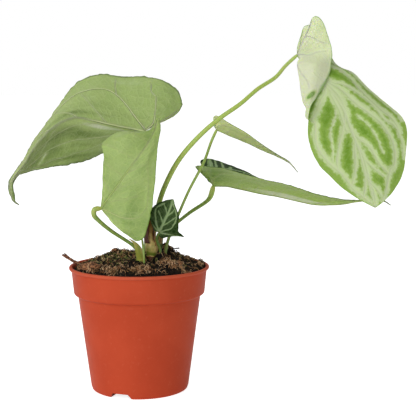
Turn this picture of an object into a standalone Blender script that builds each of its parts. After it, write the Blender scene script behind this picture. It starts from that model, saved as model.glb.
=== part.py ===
"""Potted anthurium: a young plant with six heart-shaped leaves in a 12 cm plastic nursery pot.

Run with: blender --background --python part.py
The model is in metres with +Z up. The origin is the centre of the pot's flat base, and -Y is the front.
Sizes and places below are millimetres unless a name says otherwise.
"""
import bmesh
import bpy
import numpy as np
from math import pi
from mathutils import Matrix, Vector
from mathutils.bvhtree import BVHTree

MM = 0.001
TOUCH_GAP = 0.3

# Pot
POT_HEIGHT = 107.0
RIM_RADIUS = 60.0
WALL = 1.1
FLOOR = 1.6
LIP_HEIGHT = 2.6
COLLAR_TOP_RADIUS = 58.0
COLLAR_FOOT_RADIUS = 56.0
COLLAR_FOOT_HEIGHT = 84.3
BODY_TOP_RADIUS = 52.6
BODY_TOP_HEIGHT = 82.0
BODY_FOOT_RADIUS = 41.7
BODY_FOOT_HEIGHT = 2.7
POT_SIDES = 60
NOTCH_COUNT = 3
NOTCH_WIDTH = 20.0
NOTCH_TOP_WIDTH = 13.5
NOTCH_HEIGHT = 4.6
NOTCH_DEPTH = 9.0
FIRST_NOTCH_DEG = -110.0
DRAIN_COUNT = 6
DRAIN_RADIUS = 3.5
DRAIN_CIRCLE = 24.0

# Soil
SOIL_EDGE_HEIGHT = 103.5
MOUND_RADIUS = 56.0
MOUND_HEIGHT = 12.0
MOUND_TILT = 2.0
MOUND_POWER = 0.8
SOIL_RINGS = 13
SOIL_SIDES = 56
STEP_CLEARANCE = 1.8
# each lump: centre x, centre y, height, spread
LUMPS = [
    (-24, 12, 4.0, 9.0),
    (24, 16, 11.0, 4.5),
    (-47, 10, 3.0, 7.0),
    (42, 12, 1.5, 8.0),
    (30, -30, 2.5, 8.0),
    (12, -13, -2.5, 7.0),
    (-8, 34, 2.5, 8.0),
]

# Blades and stalks
BLADE_THICKNESS = 0.8
RIDGE_HEIGHT = 0.9
RIDGE_TAPER = 0.75
RIDGE_COLUMNS = (0.0, 0.08)
FIRST_FREE_COLUMN = 0.22
BLADE_NECK = 2.5
BLADE_TIP_WIDTH = 0.5
BOW_SPAN = 50.0
LOBE_ROWS = 8
BLADE_ROWS = 15
BLADE_COLUMNS = 8
STALK_SIDES = 8
STALK_END_GAP = 1.9
HOLE_CLEARANCE = 0.5
FOOT_DEPTH = 20.0

# A rib is (share of the midrib where it leaves, [places between,] place on the margin).
# Ribs run from the notch at the stalk round the lobe to the tip. bow is how far a rib's middle
# stands out towards the underside, for a rib of BOW_SPAN.
LEAVES = {
    # Leaf A, back left: seen from below, folded back along a raised midrib, with a hooked tip
    "a": dict(
        midrib=[
            (4, 12, 221.5), (-11, 9, 224), (-26, 5, 227.5), (-41, 1, 231.5), (-53.5, -2, 233.5),
            (-66, -4, 229.5), (-77.5, -5, 220.5), (-88, -5, 208), (-96.5, -5, 194.5), (-104.5, -5, 184),
            (-110, -5, 178), (-110, -5, 169), (-108, -5, 163), (-102.5, -5, 159.5),
        ],
        first=[
            (0, (17.5, 22, 228.5)), (0, (31, 32, 235)), (0, (36.5, 37, 244)), (0, (32, 40, 256)),
            (0, (18.5, 41, 265.5)), (0.03, (2.5, 41, 268.5)), (0.12, (-16.5, 39, 268)),
            (0.22, (-35.5, 37, 270.5)), (0.32, (-53, 33, 264.5)), (0.42, (-67, 28, 249)),
            (0.52, (-79.5, 21, 230)), (0.62, (-90.5, 13, 214)), (0.72, (-98, 5, 199)),
            (0.8, (-106.5, -1, 186)), (0.86, (-111, -4, 178)),
        ],
        second=[
            (0, (8.5, 23, 218.5)), (0, (12.5, 34, 211)), (0, (8.5, 42, 202.5)), (0, (-2.5, 45, 199)),
            (0.03, (-17.5, 44, 200.5)), (0.12, (-32.5, 41, 201)), (0.22, (-42.5, 37, 196.5)),
            (0.32, (-52.5, 32, 193)), (0.42, (-63.5, 27, 191)), (0.52, (-76.5, 21, 190)),
            (0.62, (-86, 14, 188)), (0.72, (-94.5, 7, 186.5)), (0.8, (-102.5, 0, 184)),
            (0.86, (-109, -4, 177.5)),
        ],
        bow=(2, -2),
    ),
    # Leaf B, front: its midrib climbs, its far side rolls back and its tip hangs down behind
    "b": dict(
        midrib=[
            (-29.5, -30, 159.5), (-18, -36, 175), (-6.5, -38, 191), (4.5, -36, 205.5), (11.5, -31, 216),
            (15.5, -24, 224.5), (16.5, -16, 231.5), (15.5, -9, 229), (12.5, -6, 219.5), (9, -5, 204.5),
            (7.5, -5, 191), (6.5, -5, 179),
        ],
        first=[
            (0, (-19.5, -33, 150.5)), (0, (-8.5, -36, 141)), (0, (-1, -38, 133.5)),
            (0, (4.5, -39, 135.5)), (0, (8, -40, 144.5)), (0, (11, -40, 156.5)),
            (0.08, (13.5, -40, 168)), (0.18, (15.5, -39, 180.5)), (0.28, (16.5, -37, 193.5)),
            (0.38, (17.5, -34, 206)), (0.47, (19, -29, 218)), (0.55, (20, -22, 227.5)),
            (0.61, (18.5, -14, 232.5)), (0.68, (17, -6, 230)), (0.77, (15.5, -3, 218)),
            (0.88, (11, -4, 201)),
        ],
        second=[
            (0, (-24.5, -22, 155.5)), (0, (-18.5, -15, 148.5)), (0, (-11, -11, 146.5)),
            (0, (-3.5, -9, 152)), (0, (-28, -26, 164.5), (1.5, -8, 161.5)),
            (0.07, (-28.5, -28, 172), (4, -8, 172.5)), (0.16, (-27.5, -30, 184.5), (6, -9, 184.5)),
            (0.27, (-27, -30, 197), (6, -10, 195.5)),
            (0.38, (-13, -36, 206.5), (-27.5, -28, 207.5), (3.5, -12, 202.5)),
            (0.47, (-9, -33, 219), (-26.5, -26, 214), (-4.5, -12, 206.5)),
            (0.54, (5, -29, 222), (-15.5, -24, 221.5), (-11.5, -11, 210.5)),
            (0.6, (9.5, -22, 222.5), (-4, -18, 221.5), (-8, -9, 210)),
            (0.68, (9.5, -12, 220), (-3.5, -7, 207)), (0.77, (0.5, -5, 202)), (0.88, (4, -5, 191)),
        ],
        bow=(5, 0),
    ),
    # Leaf C, the youngest: small, dark and upright in front of the stalks
    "c": dict(
        midrib=[
            (18, -16, 138), (22, -20, 146.5), (25.5, -21, 154), (28.5, -20, 161), (29.5, -17, 165.5),
        ],
        first=[
            (0, (14, -15, 139.5)), (0, (11.5, -15, 144)), (0, (9.5, -16, 149.5)),
            (0.2, (10.5, -17, 154.5)), (0.4, (12.5, -18, 159)), (0.6, (16.5, -18, 162)),
            (0.8, (22.5, -18, 164.5)),
        ],
        second=[
            (0, (21, -14, 135)), (0, (27.5, -12, 133)), (0, (38.5, -9, 133)), (0, (34.5, -12, 137.5)),
            (0.1, (34, -14, 144.5)), (0.35, (34.5, -16, 151)), (0.6, (33, -17, 157)),
            (0.8, (31, -17, 162)),
        ],
        bow=(-1, -1),
    ),
    # Leaf D, right: hangs with its upper side to the front, one lobe folded over it
    "d": dict(
        midrib=[
            (135, 15, 286), (147.5, 12, 272.5), (161, 9, 259), (172, 5, 244.5), (179.5, 1, 225.5),
            (187, -3, 206), (192, -7, 187.5), (197, -10, 172.5), (200, -12, 158),
        ],
        first=[
            (0, (138, 20, 295.5)), (0, (144, 30, 305.5)), (0, (151.5, 38, 311)),
            (0, (159, 44, 307)), (0, (165.5, 42, 296.5)), (0, (170.5, 34, 282.5)),
            (0.08, (185, 28, 271.5)), (0.18, (199, 22, 257)), (0.28, (213, 17, 245)),
            (0.38, (225.5, 13, 233.5)), (0.5, (229.5, 9, 221)), (0.6, (228, 5, 204)),
            (0.7, (225, 1, 186)), (0.8, (217.5, -4, 173)), (0.9, (208.5, -9, 164)),
        ],
        second=[
            (0, (135, 12, 293)), (0, (139.5, 8, 303)), (0, (143.5, 5, 311)), (0, (150, 3, 318)),
            (0, (155, 2, 314)), (0, (160, 0, 301.5)), (0, (163, -2, 290)),
            (0.05, (135.5, 10, 280), (149, -2, 279), (162.5, -5, 280.5)),
            (0.12, (136.5, 8, 269), (148, -4, 270.5), (160.5, -7, 269)),
            (0.2, (138, 5, 256.5), (146.5, -5, 259), (155.5, -7, 259)),
            (0.28, (140, 1, 245), (144, -5, 248), (149.5, -7, 249.5)),
            (0.36, (154.5, 2, 240.5), (141.5, -3, 234), (144.5, -7, 240.5)), (0.44, (143, -5, 224.5)),
            (0.52, (144, -6, 214)), (0.6, (147.5, -8, 203)), (0.68, (153, -10, 193)),
            (0.76, (162.5, -12, 183.5)), (0.84, (174, -13, 173)), (0.92, (187, -13, 164.5)),
        ],
        bow=(-3, -2),
    ),
    # Leaf E, slim, folded along its midrib and seen on edge
    "e": dict(
        midrib=[
            (66.5, 25, 222), (80, 26, 216), (93.5, 27, 210.5), (106, 28, 204.5), (119.5, 29, 198.5),
            (130, 30, 193), (134.5, 30, 188.5), (138, 30, 184.5),
        ],
        first=[
            (0, (64.5, 33, 224)), (0, (64, 42, 226.5)), (0, (66, 50, 227.5)), (0, (70, 54, 227.5)),
            (0.15, (78, 56, 224)), (0.3, (88.5, 54, 218)), (0.45, (99, 49, 212)),
            (0.6, (110.5, 42, 205.5)), (0.75, (121.5, 36, 198.5)), (0.87, (130.5, 31, 193)),
        ],
        second=[
            (0, (64.5, 18, 227.5)), (0, (63.5, 10, 233)), (0, (65.5, 3, 235)), (0, (68.5, -1, 234)),
            (0.15, (75, -3, 230)), (0.3, (85.5, 0, 224)), (0.45, (95.5, 6, 217.5)),
            (0.6, (107, 14, 209)), (0.75, (120, 22, 200.5)), (0.87, (130, 29, 194.5)),
        ],
        bow=(-1.5, -1.5),
    ),
    # Leaf F, low on the right, a shallow V along its midrib
    "f": dict(
        midrib=[
            (64, 48, 171), (76, 48, 170.5), (89, 47, 168), (104.5, 46, 164.5), (125, 44, 161),
            (140, 42, 157.5), (152.5, 41, 155), (166, 40, 154.5), (181, 39, 155.5), (192.5, 38, 158),
            (204.5, 37, 159.5), (216.5, 36, 158), (221, 35, 155),
        ],
        first=[
            (0, (58.5, 55, 175.5)), (0, (54, 64, 186)), (0, (52, 73, 192)), (0, (58, 83, 193)),
            (0.08, (67.5, 89, 191)), (0.17, (79.5, 90, 186.5)), (0.26, (92, 87, 182)),
            (0.36, (105.5, 81, 175.5)), (0.46, (124.5, 73, 168.5)), (0.55, (143, 63, 162)),
            (0.64, (160, 53, 157.5)), (0.73, (177, 45, 156.5)), (0.81, (191.5, 40, 157.5)),
            (0.89, (204.5, 37.5, 159)),
        ],
        second=[
            (0, (57.5, 39, 178.5)), (0, (52, 32, 184.5)), (0, (48, 26, 189.5)), (0, (52, 19, 191.5)),
            (0, (59, 11, 191)), (0.08, (70, 4, 190.5)), (0.17, (83, 1, 187.5)), (0.26, (96.5, 2, 183.5)),
            (0.36, (113, 7, 179)), (0.46, (131, 14, 174.5)), (0.55, (147, 22, 168.5)),
            (0.64, (163, 29, 163.5)), (0.73, (178.5, 34, 160.5)), (0.81, (192, 37, 159.5)),
            (0.89, (204.5, 36.5, 160.5)),
        ],
        bow=(-3, -3),
    ),
}

# Each stalk: places from the soil to the blade, and the radius at the soil, midway and at the blade
STALKS = {
    "a": dict(
        path=[
            (5, 12, 107.5), (5, 12, 130.5), (3, 10, 162), (0.5, 9, 192.5), (2, 9, 209.5), (4, 10, 218.5),
        ],
        radii=(1.9, 1.6, 1.5),
    ),
    "b": dict(
        path=[
            (-1, -14, 112), (-3.5, -17, 124.5), (-10.5, -21, 131.5), (-22.5, -27, 141), (-32, -31, 150),
            (-35, -32, 154), (-34.5, -32.5, 158.5), (-31.5, -32, 160),
        ],
        radii=(3.4, 1.5, 1.9),
    ),
    "c": dict(
        path=[
            (18.5, -11, 111.5), (17, -11, 124.5), (16.5, -13, 132.5), (17.5, -14, 136),
        ],
        radii=(1.2, 1.1, 1.0),
    ),
    "d": dict(
        path=[
            (10.5, 7, 108.5), (11.5, 6, 129.5), (17.5, 0, 161.5), (25, -5, 181), (35.5, -9, 199.5),
            (52, -12, 218.5), (68, -12, 232.5), (86, -9, 245), (101, -3, 257.5), (116.5, 5, 267.5),
            (125, 10, 277), (133, 14, 285.5),
        ],
        radii=(2.6, 2.0, 1.5),
    ),
    "e": dict(
        path=[
            (21.5, 6, 108.5), (22.5, 6, 119), (25.5, 6, 130.5), (35, 5, 153.5), (42.5, 5, 170.5),
            (52, 5, 188.5), (56.5, 8, 197.5), (62, 17, 212.5), (65.5, 23, 219),
        ],
        radii=(1.5, 1.2, 1.2),
    ),
    "f": dict(
        path=[
            (15.5, 13, 107.5), (16, 13, 123.5), (20.5, 16, 132.5), (32.5, 22, 141.5), (43, 30, 149),
            (58, 41, 158), (61, 44, 161.5), (63.5, 47, 167.5),
        ],
        radii=(1.7, 1.5, 1.9),
    ),
}

# Crown: a short stem wrapped in the bases of old leaves, drawn up to a neck
CROWN_PATH = [
    (11.8, -6, 90), (11.8, -6, 104), (11.8, -6, 112), (11.6, -6, 117.5), (11.1, -5.8, 124),
    (10.4, -5.3, 131), (9.6, -4.5, 138), (9, -3.5, 145),
]
CROWN_RADII = [4.2, 4.8, 5.3, 5.6, 6.3, 5.9, 4.2, 1.4]

# A slim young shoot in front of the crown
SHOOT_PATH = [
    (6.6, -26, 100), (6.6, -26, 108), (6.5, -26, 113), (5.6, -24.5, 120), (4.4, -22, 127), (3.6, -19.5, 133),
]
SHOOT_RADII = [0.6, 0.6, 0.65, 0.8, 0.95, 0.8]

# Loose things on the soil: centre x and y, length, width and height, turn and tilt in degrees, random seed
BARK_CHIPS = {
    "bark_chip_front": (-35, -34, 10.5, 8.0, 6.0, 25, 20, 3),
    "bark_chip_mound": (-22, 11, 7.0, 5.0, 3.2, 70, 5, 5),
    "bark_chip_right": (33, -24, 9.0, 5.5, 3.0, -30, 8, 9),
    "bark_chip_back": (14, 38, 10.0, 6.0, 4.0, 110, -10, 12),
}
TWIG_PATH = [(-67, 10, 116), (-62, 8, 113.6), (-56, 5.5, 112.2), (-49, 3, 111.6), (-44, 1, 111.6)]
TWIG_RADII = [0.7, 0.9, 0.9, 0.8, 0.7]
STICK_PATH = [(24, 15.5, 127), (28, 15, 128), (33, 14.5, 129.5)]
STICK_RADII = [0.6, 0.7, 0.6]

POT_COLOUR = (190, 75, 48)
SOIL_COLOUR = (58, 42, 32)
CROWN_COLOUR = (120, 92, 50)
UNDERSIDE_GREEN = (150, 176, 108)
SILVER_GREEN = (165, 192, 112)
DARK_GREEN = (40, 78, 44)
STALK_GREEN = (140, 168, 70)
BARK_COLOUR = (150, 92, 56)


def srgb(red, green, blue):
    """An 8-bit screen colour as the linear colour a shader takes."""
    def linear(value):
        value = value / 255
        return value / 12.92 if value <= 0.04045 else ((value + 0.055) / 1.055) ** 2.4
    return linear(red), linear(green), linear(blue), 1.0


def material(name, colour, roughness):
    """A plain Principled material."""
    made = bpy.data.materials.new(name)
    made.use_nodes = True
    shader = made.node_tree.nodes["Principled BSDF"]
    shader.inputs["Base Color"].default_value = srgb(*colour)
    shader.inputs["Roughness"].default_value = roughness
    made.diffuse_color = srgb(*colour)
    return made


def add_solid(name, places, faces, colour, roughness=0.5, smooth=True):
    """A named object from places in millimetres and faces that point outwards."""
    mesh = bpy.data.meshes.new(name)
    mesh.from_pydata([tuple(place) for place in np.asarray(places, float) * MM], [], faces)
    mesh.validate()
    if smooth:
        mesh.shade_smooth()
    mesh.materials.append(material(name, colour, roughness))
    solid = bpy.data.objects.new(name, mesh)
    bpy.context.scene.collection.objects.link(solid)
    return solid


def cutters(name):
    """A collection for the solids that cut one piece."""
    group = bpy.data.collections.new(name)
    bpy.context.scene.collection.children.link(group)
    return group


def add_cutter(group, places, faces):
    """A hidden solid in a collection of cutters."""
    mesh = bpy.data.meshes.new(group.name)
    mesh.from_pydata([tuple(place) for place in np.asarray(places, float) * MM], [], faces)
    cutter = bpy.data.objects.new(group.name, mesh)
    cutter.hide_render = True
    cutter.display_type = "WIRE"
    group.objects.link(cutter)


def cut_with(solid, group):
    """Cuts a solid with every solid of a collection, then removes them."""
    bpy.context.view_layer.update()
    cut = solid.modifiers.new("holes", "BOOLEAN")
    cut.operation = "DIFFERENCE"
    cut.operand_type = "COLLECTION"
    cut.collection = group
    cut.solver = "EXACT"
    graph = bpy.context.evaluated_depsgraph_get()
    result = bpy.data.meshes.new_from_object(solid.evaluated_get(graph))
    solid.modifiers.clear()
    solid.data = result
    for cutter in list(group.objects):
        bpy.data.objects.remove(cutter)
    bpy.data.collections.remove(group)


def knots(points):
    """Parameter of each point: the root of the distance gone, which keeps a curve tight in its turns."""
    step = np.sqrt(np.linalg.norm(np.diff(points, axis=0), axis=1))
    return np.concatenate([[0], np.cumsum(np.maximum(step, 1e-6))])


def smooth_through(points, t, at):
    """A smooth curve through points whose parameters are t, read at the parameters at."""
    points = np.asarray(points, float)
    flat = points.reshape(len(points), -1)
    slope = np.gradient(flat, t, axis=0)
    index = np.clip(np.searchsorted(t, at, side="right") - 1, 0, len(t) - 2)
    span = (t[index + 1] - t[index])[:, None]
    s = ((at - t[index])[:, None]) / span
    made = ((1 + 2 * s) * (1 - s) ** 2 * flat[index] + s * (1 - s) ** 2 * span * slope[index]
            + s * s * (3 - 2 * s) * flat[index + 1] + s * s * (s - 1) * span * slope[index + 1])
    return made.reshape((len(at),) + points.shape[1:])


def along(midrib, shares):
    """Places at shares of the midrib's length."""
    midrib = np.asarray(midrib, float)
    t = knots(midrib)
    fine = smooth_through(midrib, t, np.linspace(0, t[-1], 400))
    gone = np.concatenate([[0], np.cumsum(np.linalg.norm(np.diff(fine, axis=0), axis=1))])
    at = np.asarray(shares) * gone[-1]
    return np.stack([np.interp(at, gone, fine[:, axis]) for axis in range(3)], -1)


def rib_places(midrib, rib, bow, across):
    """One rib, as steps away from its root on the midrib, at the shares across."""
    share, *outer = rib
    root = along(midrib, [share])[0]
    outer = [np.asarray(place, float) for place in outer]
    if len(outer) == 1:
        reach = outer[0] - root
        ahead = along(midrib, [min(share + 0.05, 1)])[0] - along(midrib, [max(share - 0.02, 0)])[0]
        facing = np.cross(reach, ahead)
        facing = facing / np.linalg.norm(facing) * bow * np.linalg.norm(reach) / BOW_SPAN
        outer.insert(0, (root + outer[0]) / 2 + facing)
    chain = np.array([root, *outer])
    t = knots(chain)
    return smooth_through(chain, t, t[-1] * across) - root


def half_blade(midrib, ribs, bow, lobe_rows, blade_shares, across):
    """A grid over one half: rows from the notch round the lobe to the tip, columns out to the margin."""
    steps = np.array([rib_places(midrib, rib, bow, across) for rib in ribs])
    neck = steps[0] / np.linalg.norm(steps[0][-1]) * BLADE_NECK
    tip = steps[-1] / np.linalg.norm(steps[-1][-1]) * BLADE_TIP_WIDTH
    steps = np.concatenate([neck[None], steps, tip[None]])
    shares = np.array([0.0] + [rib[0] for rib in ribs] + [1.0])
    t = knots(steps[:, -1] + along(midrib, shares))
    last = np.nonzero(shares <= 0)[0][-1]
    rows = np.concatenate([np.linspace(0, t[last], lobe_rows, endpoint=False),
                           np.interp(blade_shares, shares[last:], t[last:])])
    roots = along(midrib, np.concatenate([np.zeros(lobe_rows), blade_shares]))
    return roots[:, None] + smooth_through(steps, t, rows)


def blade_sheet(leaf, lobe_rows, blade_rows, columns):
    """The leaf's middle surface: places, triangles that face the underside, and the ridge at each place."""
    across = np.concatenate([RIDGE_COLUMNS, np.linspace(FIRST_FREE_COLUMN, 1, columns - len(RIDGE_COLUMNS))])
    shares = np.linspace(0, 1, blade_rows)
    places = [along(leaf["midrib"], shares)]
    ridge = [1 - RIDGE_TAPER * shares]
    numbers = []
    start = blade_rows
    for key, side in (("first", 1), ("second", -1)):
        bow = leaf["bow"][0 if side == 1 else 1] * side
        grid = half_blade(leaf["midrib"], leaf[key], bow, lobe_rows, shares, across)
        rows = len(grid)
        number = np.empty((rows, columns), int)
        number[:, 0] = np.maximum(np.arange(rows) - lobe_rows, 0)
        number[:, 1:] = start + np.arange(rows * (columns - 1)).reshape(rows, -1)
        start += rows * (columns - 1)
        places.append(grid[:, 1:].reshape(-1, 3))
        ridge.append(np.zeros(rows * (columns - 1)))
        numbers.append((number, side))
    triangles = []
    for number, side in numbers:
        a, b = number[:-1, :-1].ravel(), number[:-1, 1:].ravel()
        c, d = number[1:, 1:].ravel(), number[1:, :-1].ravel()
        for corners in np.concatenate([np.stack([a, b, c], 1), np.stack([a, c, d], 1)]):
            if len(set(corners)) == 3:
                triangles.append(corners if side == 1 else corners[::-1])
    return np.concatenate(places), np.array(triangles), np.concatenate(ridge)


def thicken(places, triangles, under, over):
    """A closed solid round a sheet: under and over are its reach to each side at every place."""
    corner = places[triangles]
    facing = np.cross(corner[:, 1] - corner[:, 0], corner[:, 2] - corner[:, 0])
    normal = np.zeros_like(places)
    for k in range(3):
        np.add.at(normal, triangles[:, k], facing)
    normal /= np.linalg.norm(normal, axis=1, keepdims=True)
    count = len(places)
    solid = np.concatenate([places + normal * under[:, None], places - normal * over[:, None]])
    sides = [triangles[:, [0, 1]], triangles[:, [1, 2]], triangles[:, [2, 0]]]
    edges = {tuple(edge) for edge in np.concatenate(sides)}
    faces = [tuple(t) for t in triangles] + [tuple(t[::-1] + count) for t in triangles]
    for start, end in sorted(edges):
        if (end, start) not in edges:
            faces.append((end, start, start + count))
            faces.append((end, start + count, end + count))
    return solid, faces


def add_leaf(name, leaf, colour, lobe_rows=LOBE_ROWS, blade_rows=BLADE_ROWS, columns=BLADE_COLUMNS):
    """A blade with its real outline and folds, and its midrib raised below."""
    places, triangles, ridge = blade_sheet(leaf, lobe_rows, blade_rows, columns)
    half = BLADE_THICKNESS / 2
    solid, faces = thicken(places, triangles, half + RIDGE_HEIGHT * ridge, np.full(len(places), half))
    add_solid(name, solid, faces, colour, roughness=0.45)


def tube(path, radii, rings, sides):
    """A round tube with rounded ends along a smooth path, its radius eased between the given ones."""
    path = np.asarray(path, float)
    t = knots(path)
    at = np.linspace(0, t[-1], rings)
    centre = smooth_through(path, t, at)
    radius = np.interp(at / t[-1], np.linspace(0, 1, len(radii)), radii)
    tangent = np.gradient(centre, axis=0)
    tangent /= np.linalg.norm(tangent, axis=1, keepdims=True)
    for end, away in ((0, -1), (-1, 1)):
        cap = centre[end] + tangent[end] * away * radius[end] * 0.35
        centre = np.insert(centre, 0 if end == 0 else len(centre), cap, axis=0)
        tangent = np.insert(tangent, 0 if end == 0 else len(tangent), tangent[end], axis=0)
        radius = np.insert(radius, 0 if end == 0 else len(radius), radius[end] * 0.55)
    side = np.cross(tangent[0], (0.31, 0.95, 0.05))
    angle = np.linspace(0, 2 * pi, sides, endpoint=False)
    places = []
    for place, ahead, width in zip(centre, tangent, radius):
        side = side - ahead * side.dot(ahead)
        side /= np.linalg.norm(side)
        other = np.cross(ahead, side)
        places.append(place + width * (np.outer(np.cos(angle), side) + np.outer(np.sin(angle), other)))
    count = len(centre)
    number = np.arange(count * sides).reshape(count, sides)
    after = np.roll(number, -1, axis=1)
    a, b, c, d = number[:-1].ravel(), after[:-1].ravel(), after[1:].ravel(), number[1:].ravel()
    faces = [tuple(t) for t in np.concatenate([np.stack([a, b, c], 1), np.stack([a, c, d], 1)])]
    faces.append(tuple(number[0][::-1]))
    faces.append(tuple(number[-1]))
    return np.concatenate(places), faces


def turned(profile, sides):
    """A solid of revolution about Z from (radius, height) points. The first and last lie on the axis."""
    profile = np.asarray(profile, float)
    angle = np.linspace(0, 2 * pi, sides, endpoint=False)
    ring = np.stack([np.cos(angle), np.sin(angle)], 1)
    inner = profile[1:-1]
    places = [(0, 0, profile[0, 1])]
    for radius, height in inner:
        places.extend((radius * x, radius * y, height) for x, y in ring)
    places.append((0, 0, profile[-1, 1]))
    number = 1 + np.arange(len(inner) * sides).reshape(len(inner), sides)
    after = np.roll(number, -1, axis=1)
    a, b, c, d = number[:-1].ravel(), after[:-1].ravel(), after[1:].ravel(), number[1:].ravel()
    faces = [tuple(q) for q in np.stack([a, b, c, d], 1)]
    faces += [(0, q, p) for p, q in zip(number[0], after[0])]
    faces += [(len(places) - 1, p, q) for p, q in zip(number[-1], after[-1])]
    return places, faces


def pot_profile():
    """The wall's outline: along the floor, up outside, over the lip and down inside."""
    lip_foot = POT_HEIGHT - LIP_HEIGHT
    body_inner = BODY_TOP_RADIUS - WALL
    return [
        (0, 0), (BODY_FOOT_RADIUS - 2.0, 0), (BODY_FOOT_RADIUS - 0.5, 0.8),
        (BODY_FOOT_RADIUS, BODY_FOOT_HEIGHT), (BODY_TOP_RADIUS, BODY_TOP_HEIGHT),
        (COLLAR_FOOT_RADIUS - 0.5, COLLAR_FOOT_HEIGHT - 0.8), (COLLAR_FOOT_RADIUS, COLLAR_FOOT_HEIGHT),
        (COLLAR_TOP_RADIUS, lip_foot - 0.3), (RIM_RADIUS - 0.5, lip_foot), (RIM_RADIUS, lip_foot + 0.8),
        (RIM_RADIUS, POT_HEIGHT - 0.7), (RIM_RADIUS - 0.7, POT_HEIGHT), (RIM_RADIUS - 2.2, POT_HEIGHT),
        (RIM_RADIUS - 2.9, POT_HEIGHT - 0.8), (COLLAR_TOP_RADIUS - WALL, lip_foot - 0.5),
        (COLLAR_FOOT_RADIUS - WALL, COLLAR_FOOT_HEIGHT + WALL), (body_inner, BODY_TOP_HEIGHT + WALL + 0.1),
        (BODY_FOOT_RADIUS - WALL, FLOOR), (0, FLOOR),
    ]


def notch_bar(start, end):
    """A bar from start to end, flat on top, whose sides slant out down to 1 mm below the ground."""
    start, end = np.asarray(start, float), np.asarray(end, float)
    side = np.cross(end - start, (0, 0, 1)) / np.linalg.norm(end - start)
    slant = (NOTCH_WIDTH - NOTCH_TOP_WIDTH) / NOTCH_HEIGHT
    below = (NOTCH_WIDTH + slant) / 2
    above = NOTCH_TOP_WIDTH / 2
    outline = [(-below, -1), (-above, NOTCH_HEIGHT), (above, NOTCH_HEIGHT), (below, -1)]
    section = np.array([across * side + (0, 0, up) for across, up in outline])
    places = np.concatenate([start + section, end + section])
    faces = [(3, 2, 1, 0), (4, 5, 6, 7)] + [(k, (k + 1) % 4, (k + 1) % 4 + 4, k + 4) for k in range(4)]
    return places, faces


def upright_rod(x, y, radius, foot, top, sides=16):
    """A round rod that stands upright."""
    angle = np.linspace(0, 2 * pi, sides, endpoint=False)
    ring = np.stack([x + radius * np.cos(angle), y + radius * np.sin(angle), 0 * angle + foot], 1)
    places = np.concatenate([ring, ring + (0, 0, top - foot)])
    faces = [(k, (k + 1) % sides, (k + 1) % sides + sides, k + sides) for k in range(sides)]
    faces.append(tuple(range(sides - 1, -1, -1)))
    faces.append(tuple(range(sides, 2 * sides)))
    return places, faces


def add_pot():
    """The thin plastic pot with flat-topped notches at its foot and drain holes in its floor."""
    places, faces = turned(pot_profile(), POT_SIDES)
    pot = add_solid("pot", places, faces, POT_COLOUR, roughness=0.5)
    group = cutters("pot_holes")
    for k in range(NOTCH_COUNT):
        angle = np.radians(FIRST_NOTCH_DEG + 360 * k / NOTCH_COUNT)
        out = np.array((np.cos(angle), np.sin(angle), 0))
        start = out * (BODY_FOOT_RADIUS - NOTCH_DEPTH)
        add_cutter(group, *notch_bar(start, out * (BODY_FOOT_RADIUS + 2)))
    for k in range(DRAIN_COUNT):
        angle = np.radians(360 * (k + 0.5) / DRAIN_COUNT)
        centre = DRAIN_CIRCLE * np.array((np.cos(angle), np.sin(angle)))
        add_cutter(group, *upright_rod(*centre, DRAIN_RADIUS, -1, FLOOR + 1))
    cut_with(pot, group)
    pot.data.set_sharp_from_angle(angle=np.radians(35))


def mound(x, y):
    """Height of the soil: a dome that meets the wall, leaning up to the back, with lumps and crumbs."""
    r = np.minimum(np.hypot(x, y) / MOUND_RADIUS, 1)
    height = (MOUND_HEIGHT + MOUND_TILT * np.tanh(y / 15)) * (1 - r ** 2) ** MOUND_POWER
    for lump_x, lump_y, lump_height, spread in LUMPS:
        height = height + lump_height * np.exp(-((x - lump_x) ** 2 + (y - lump_y) ** 2) / (2 * spread ** 2))
    crumbs = 0.7 * np.sin(0.63 * x + 1.7) * np.sin(0.57 * y - 0.6) + 0.4 * np.sin(0.9 * x - 0.8 * y)
    return SOIL_EDGE_HEIGHT + height + crumbs * (1 - r ** 4)


def soil_sides():
    """Radius and height of the soil's side, a touch inside the pot's wall."""
    inside = WALL + TOUCH_GAP + 0.1
    return [(COLLAR_FOOT_RADIUS - inside, COLLAR_FOOT_HEIGHT + STEP_CLEARANCE),
            (BODY_TOP_RADIUS - inside, BODY_TOP_HEIGHT + STEP_CLEARANCE),
            (BODY_FOOT_RADIUS - inside, FLOOR + TOUCH_GAP)]


def add_soil(holes):
    """The filled pot's soil, with a plain hole for each stem: (x, y, radius, depth of its foot)."""
    edge = COLLAR_TOP_RADIUS - WALL - TOUCH_GAP - 0.2
    angle = np.linspace(0, 2 * pi, SOIL_SIDES, endpoint=False)
    ring = np.stack([np.cos(angle), np.sin(angle)], 1)
    places = [(0, 0, float(mound(0, 0)))]
    for radius in edge * np.linspace(0, 1, SOIL_RINGS + 1)[1:]:
        places.extend((x, y, mound(x, y)) for x, y in ring * radius)
    for radius, height in soil_sides():
        places.extend((x, y, height) for x, y in ring * radius)
    places.append((0, 0, FLOOR + TOUCH_GAP))
    rows = SOIL_RINGS + len(soil_sides())
    number = 1 + np.arange(rows * SOIL_SIDES).reshape(rows, SOIL_SIDES)
    after = np.roll(number, -1, axis=1)
    a, b, c, d = number[:-1].ravel(), number[1:].ravel(), after[1:].ravel(), after[:-1].ravel()
    faces = [tuple(t) for t in np.concatenate([np.stack([a, b, c], 1), np.stack([a, c, d], 1)])]
    faces += [(0, p, q) for p, q in zip(number[0], after[0])]
    faces += [(len(places) - 1, q, p) for p, q in zip(number[-1], after[-1])]
    soil = add_solid("soil", places, faces, SOIL_COLOUR, roughness=0.95)
    group = cutters("soil_holes")
    for x, y, radius, foot in holes:
        add_cutter(group, *upright_rod(x, y, radius + HOLE_CLEARANCE, foot - TOUCH_GAP, 140))
    cut_with(soil, group)
    return soil


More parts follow.
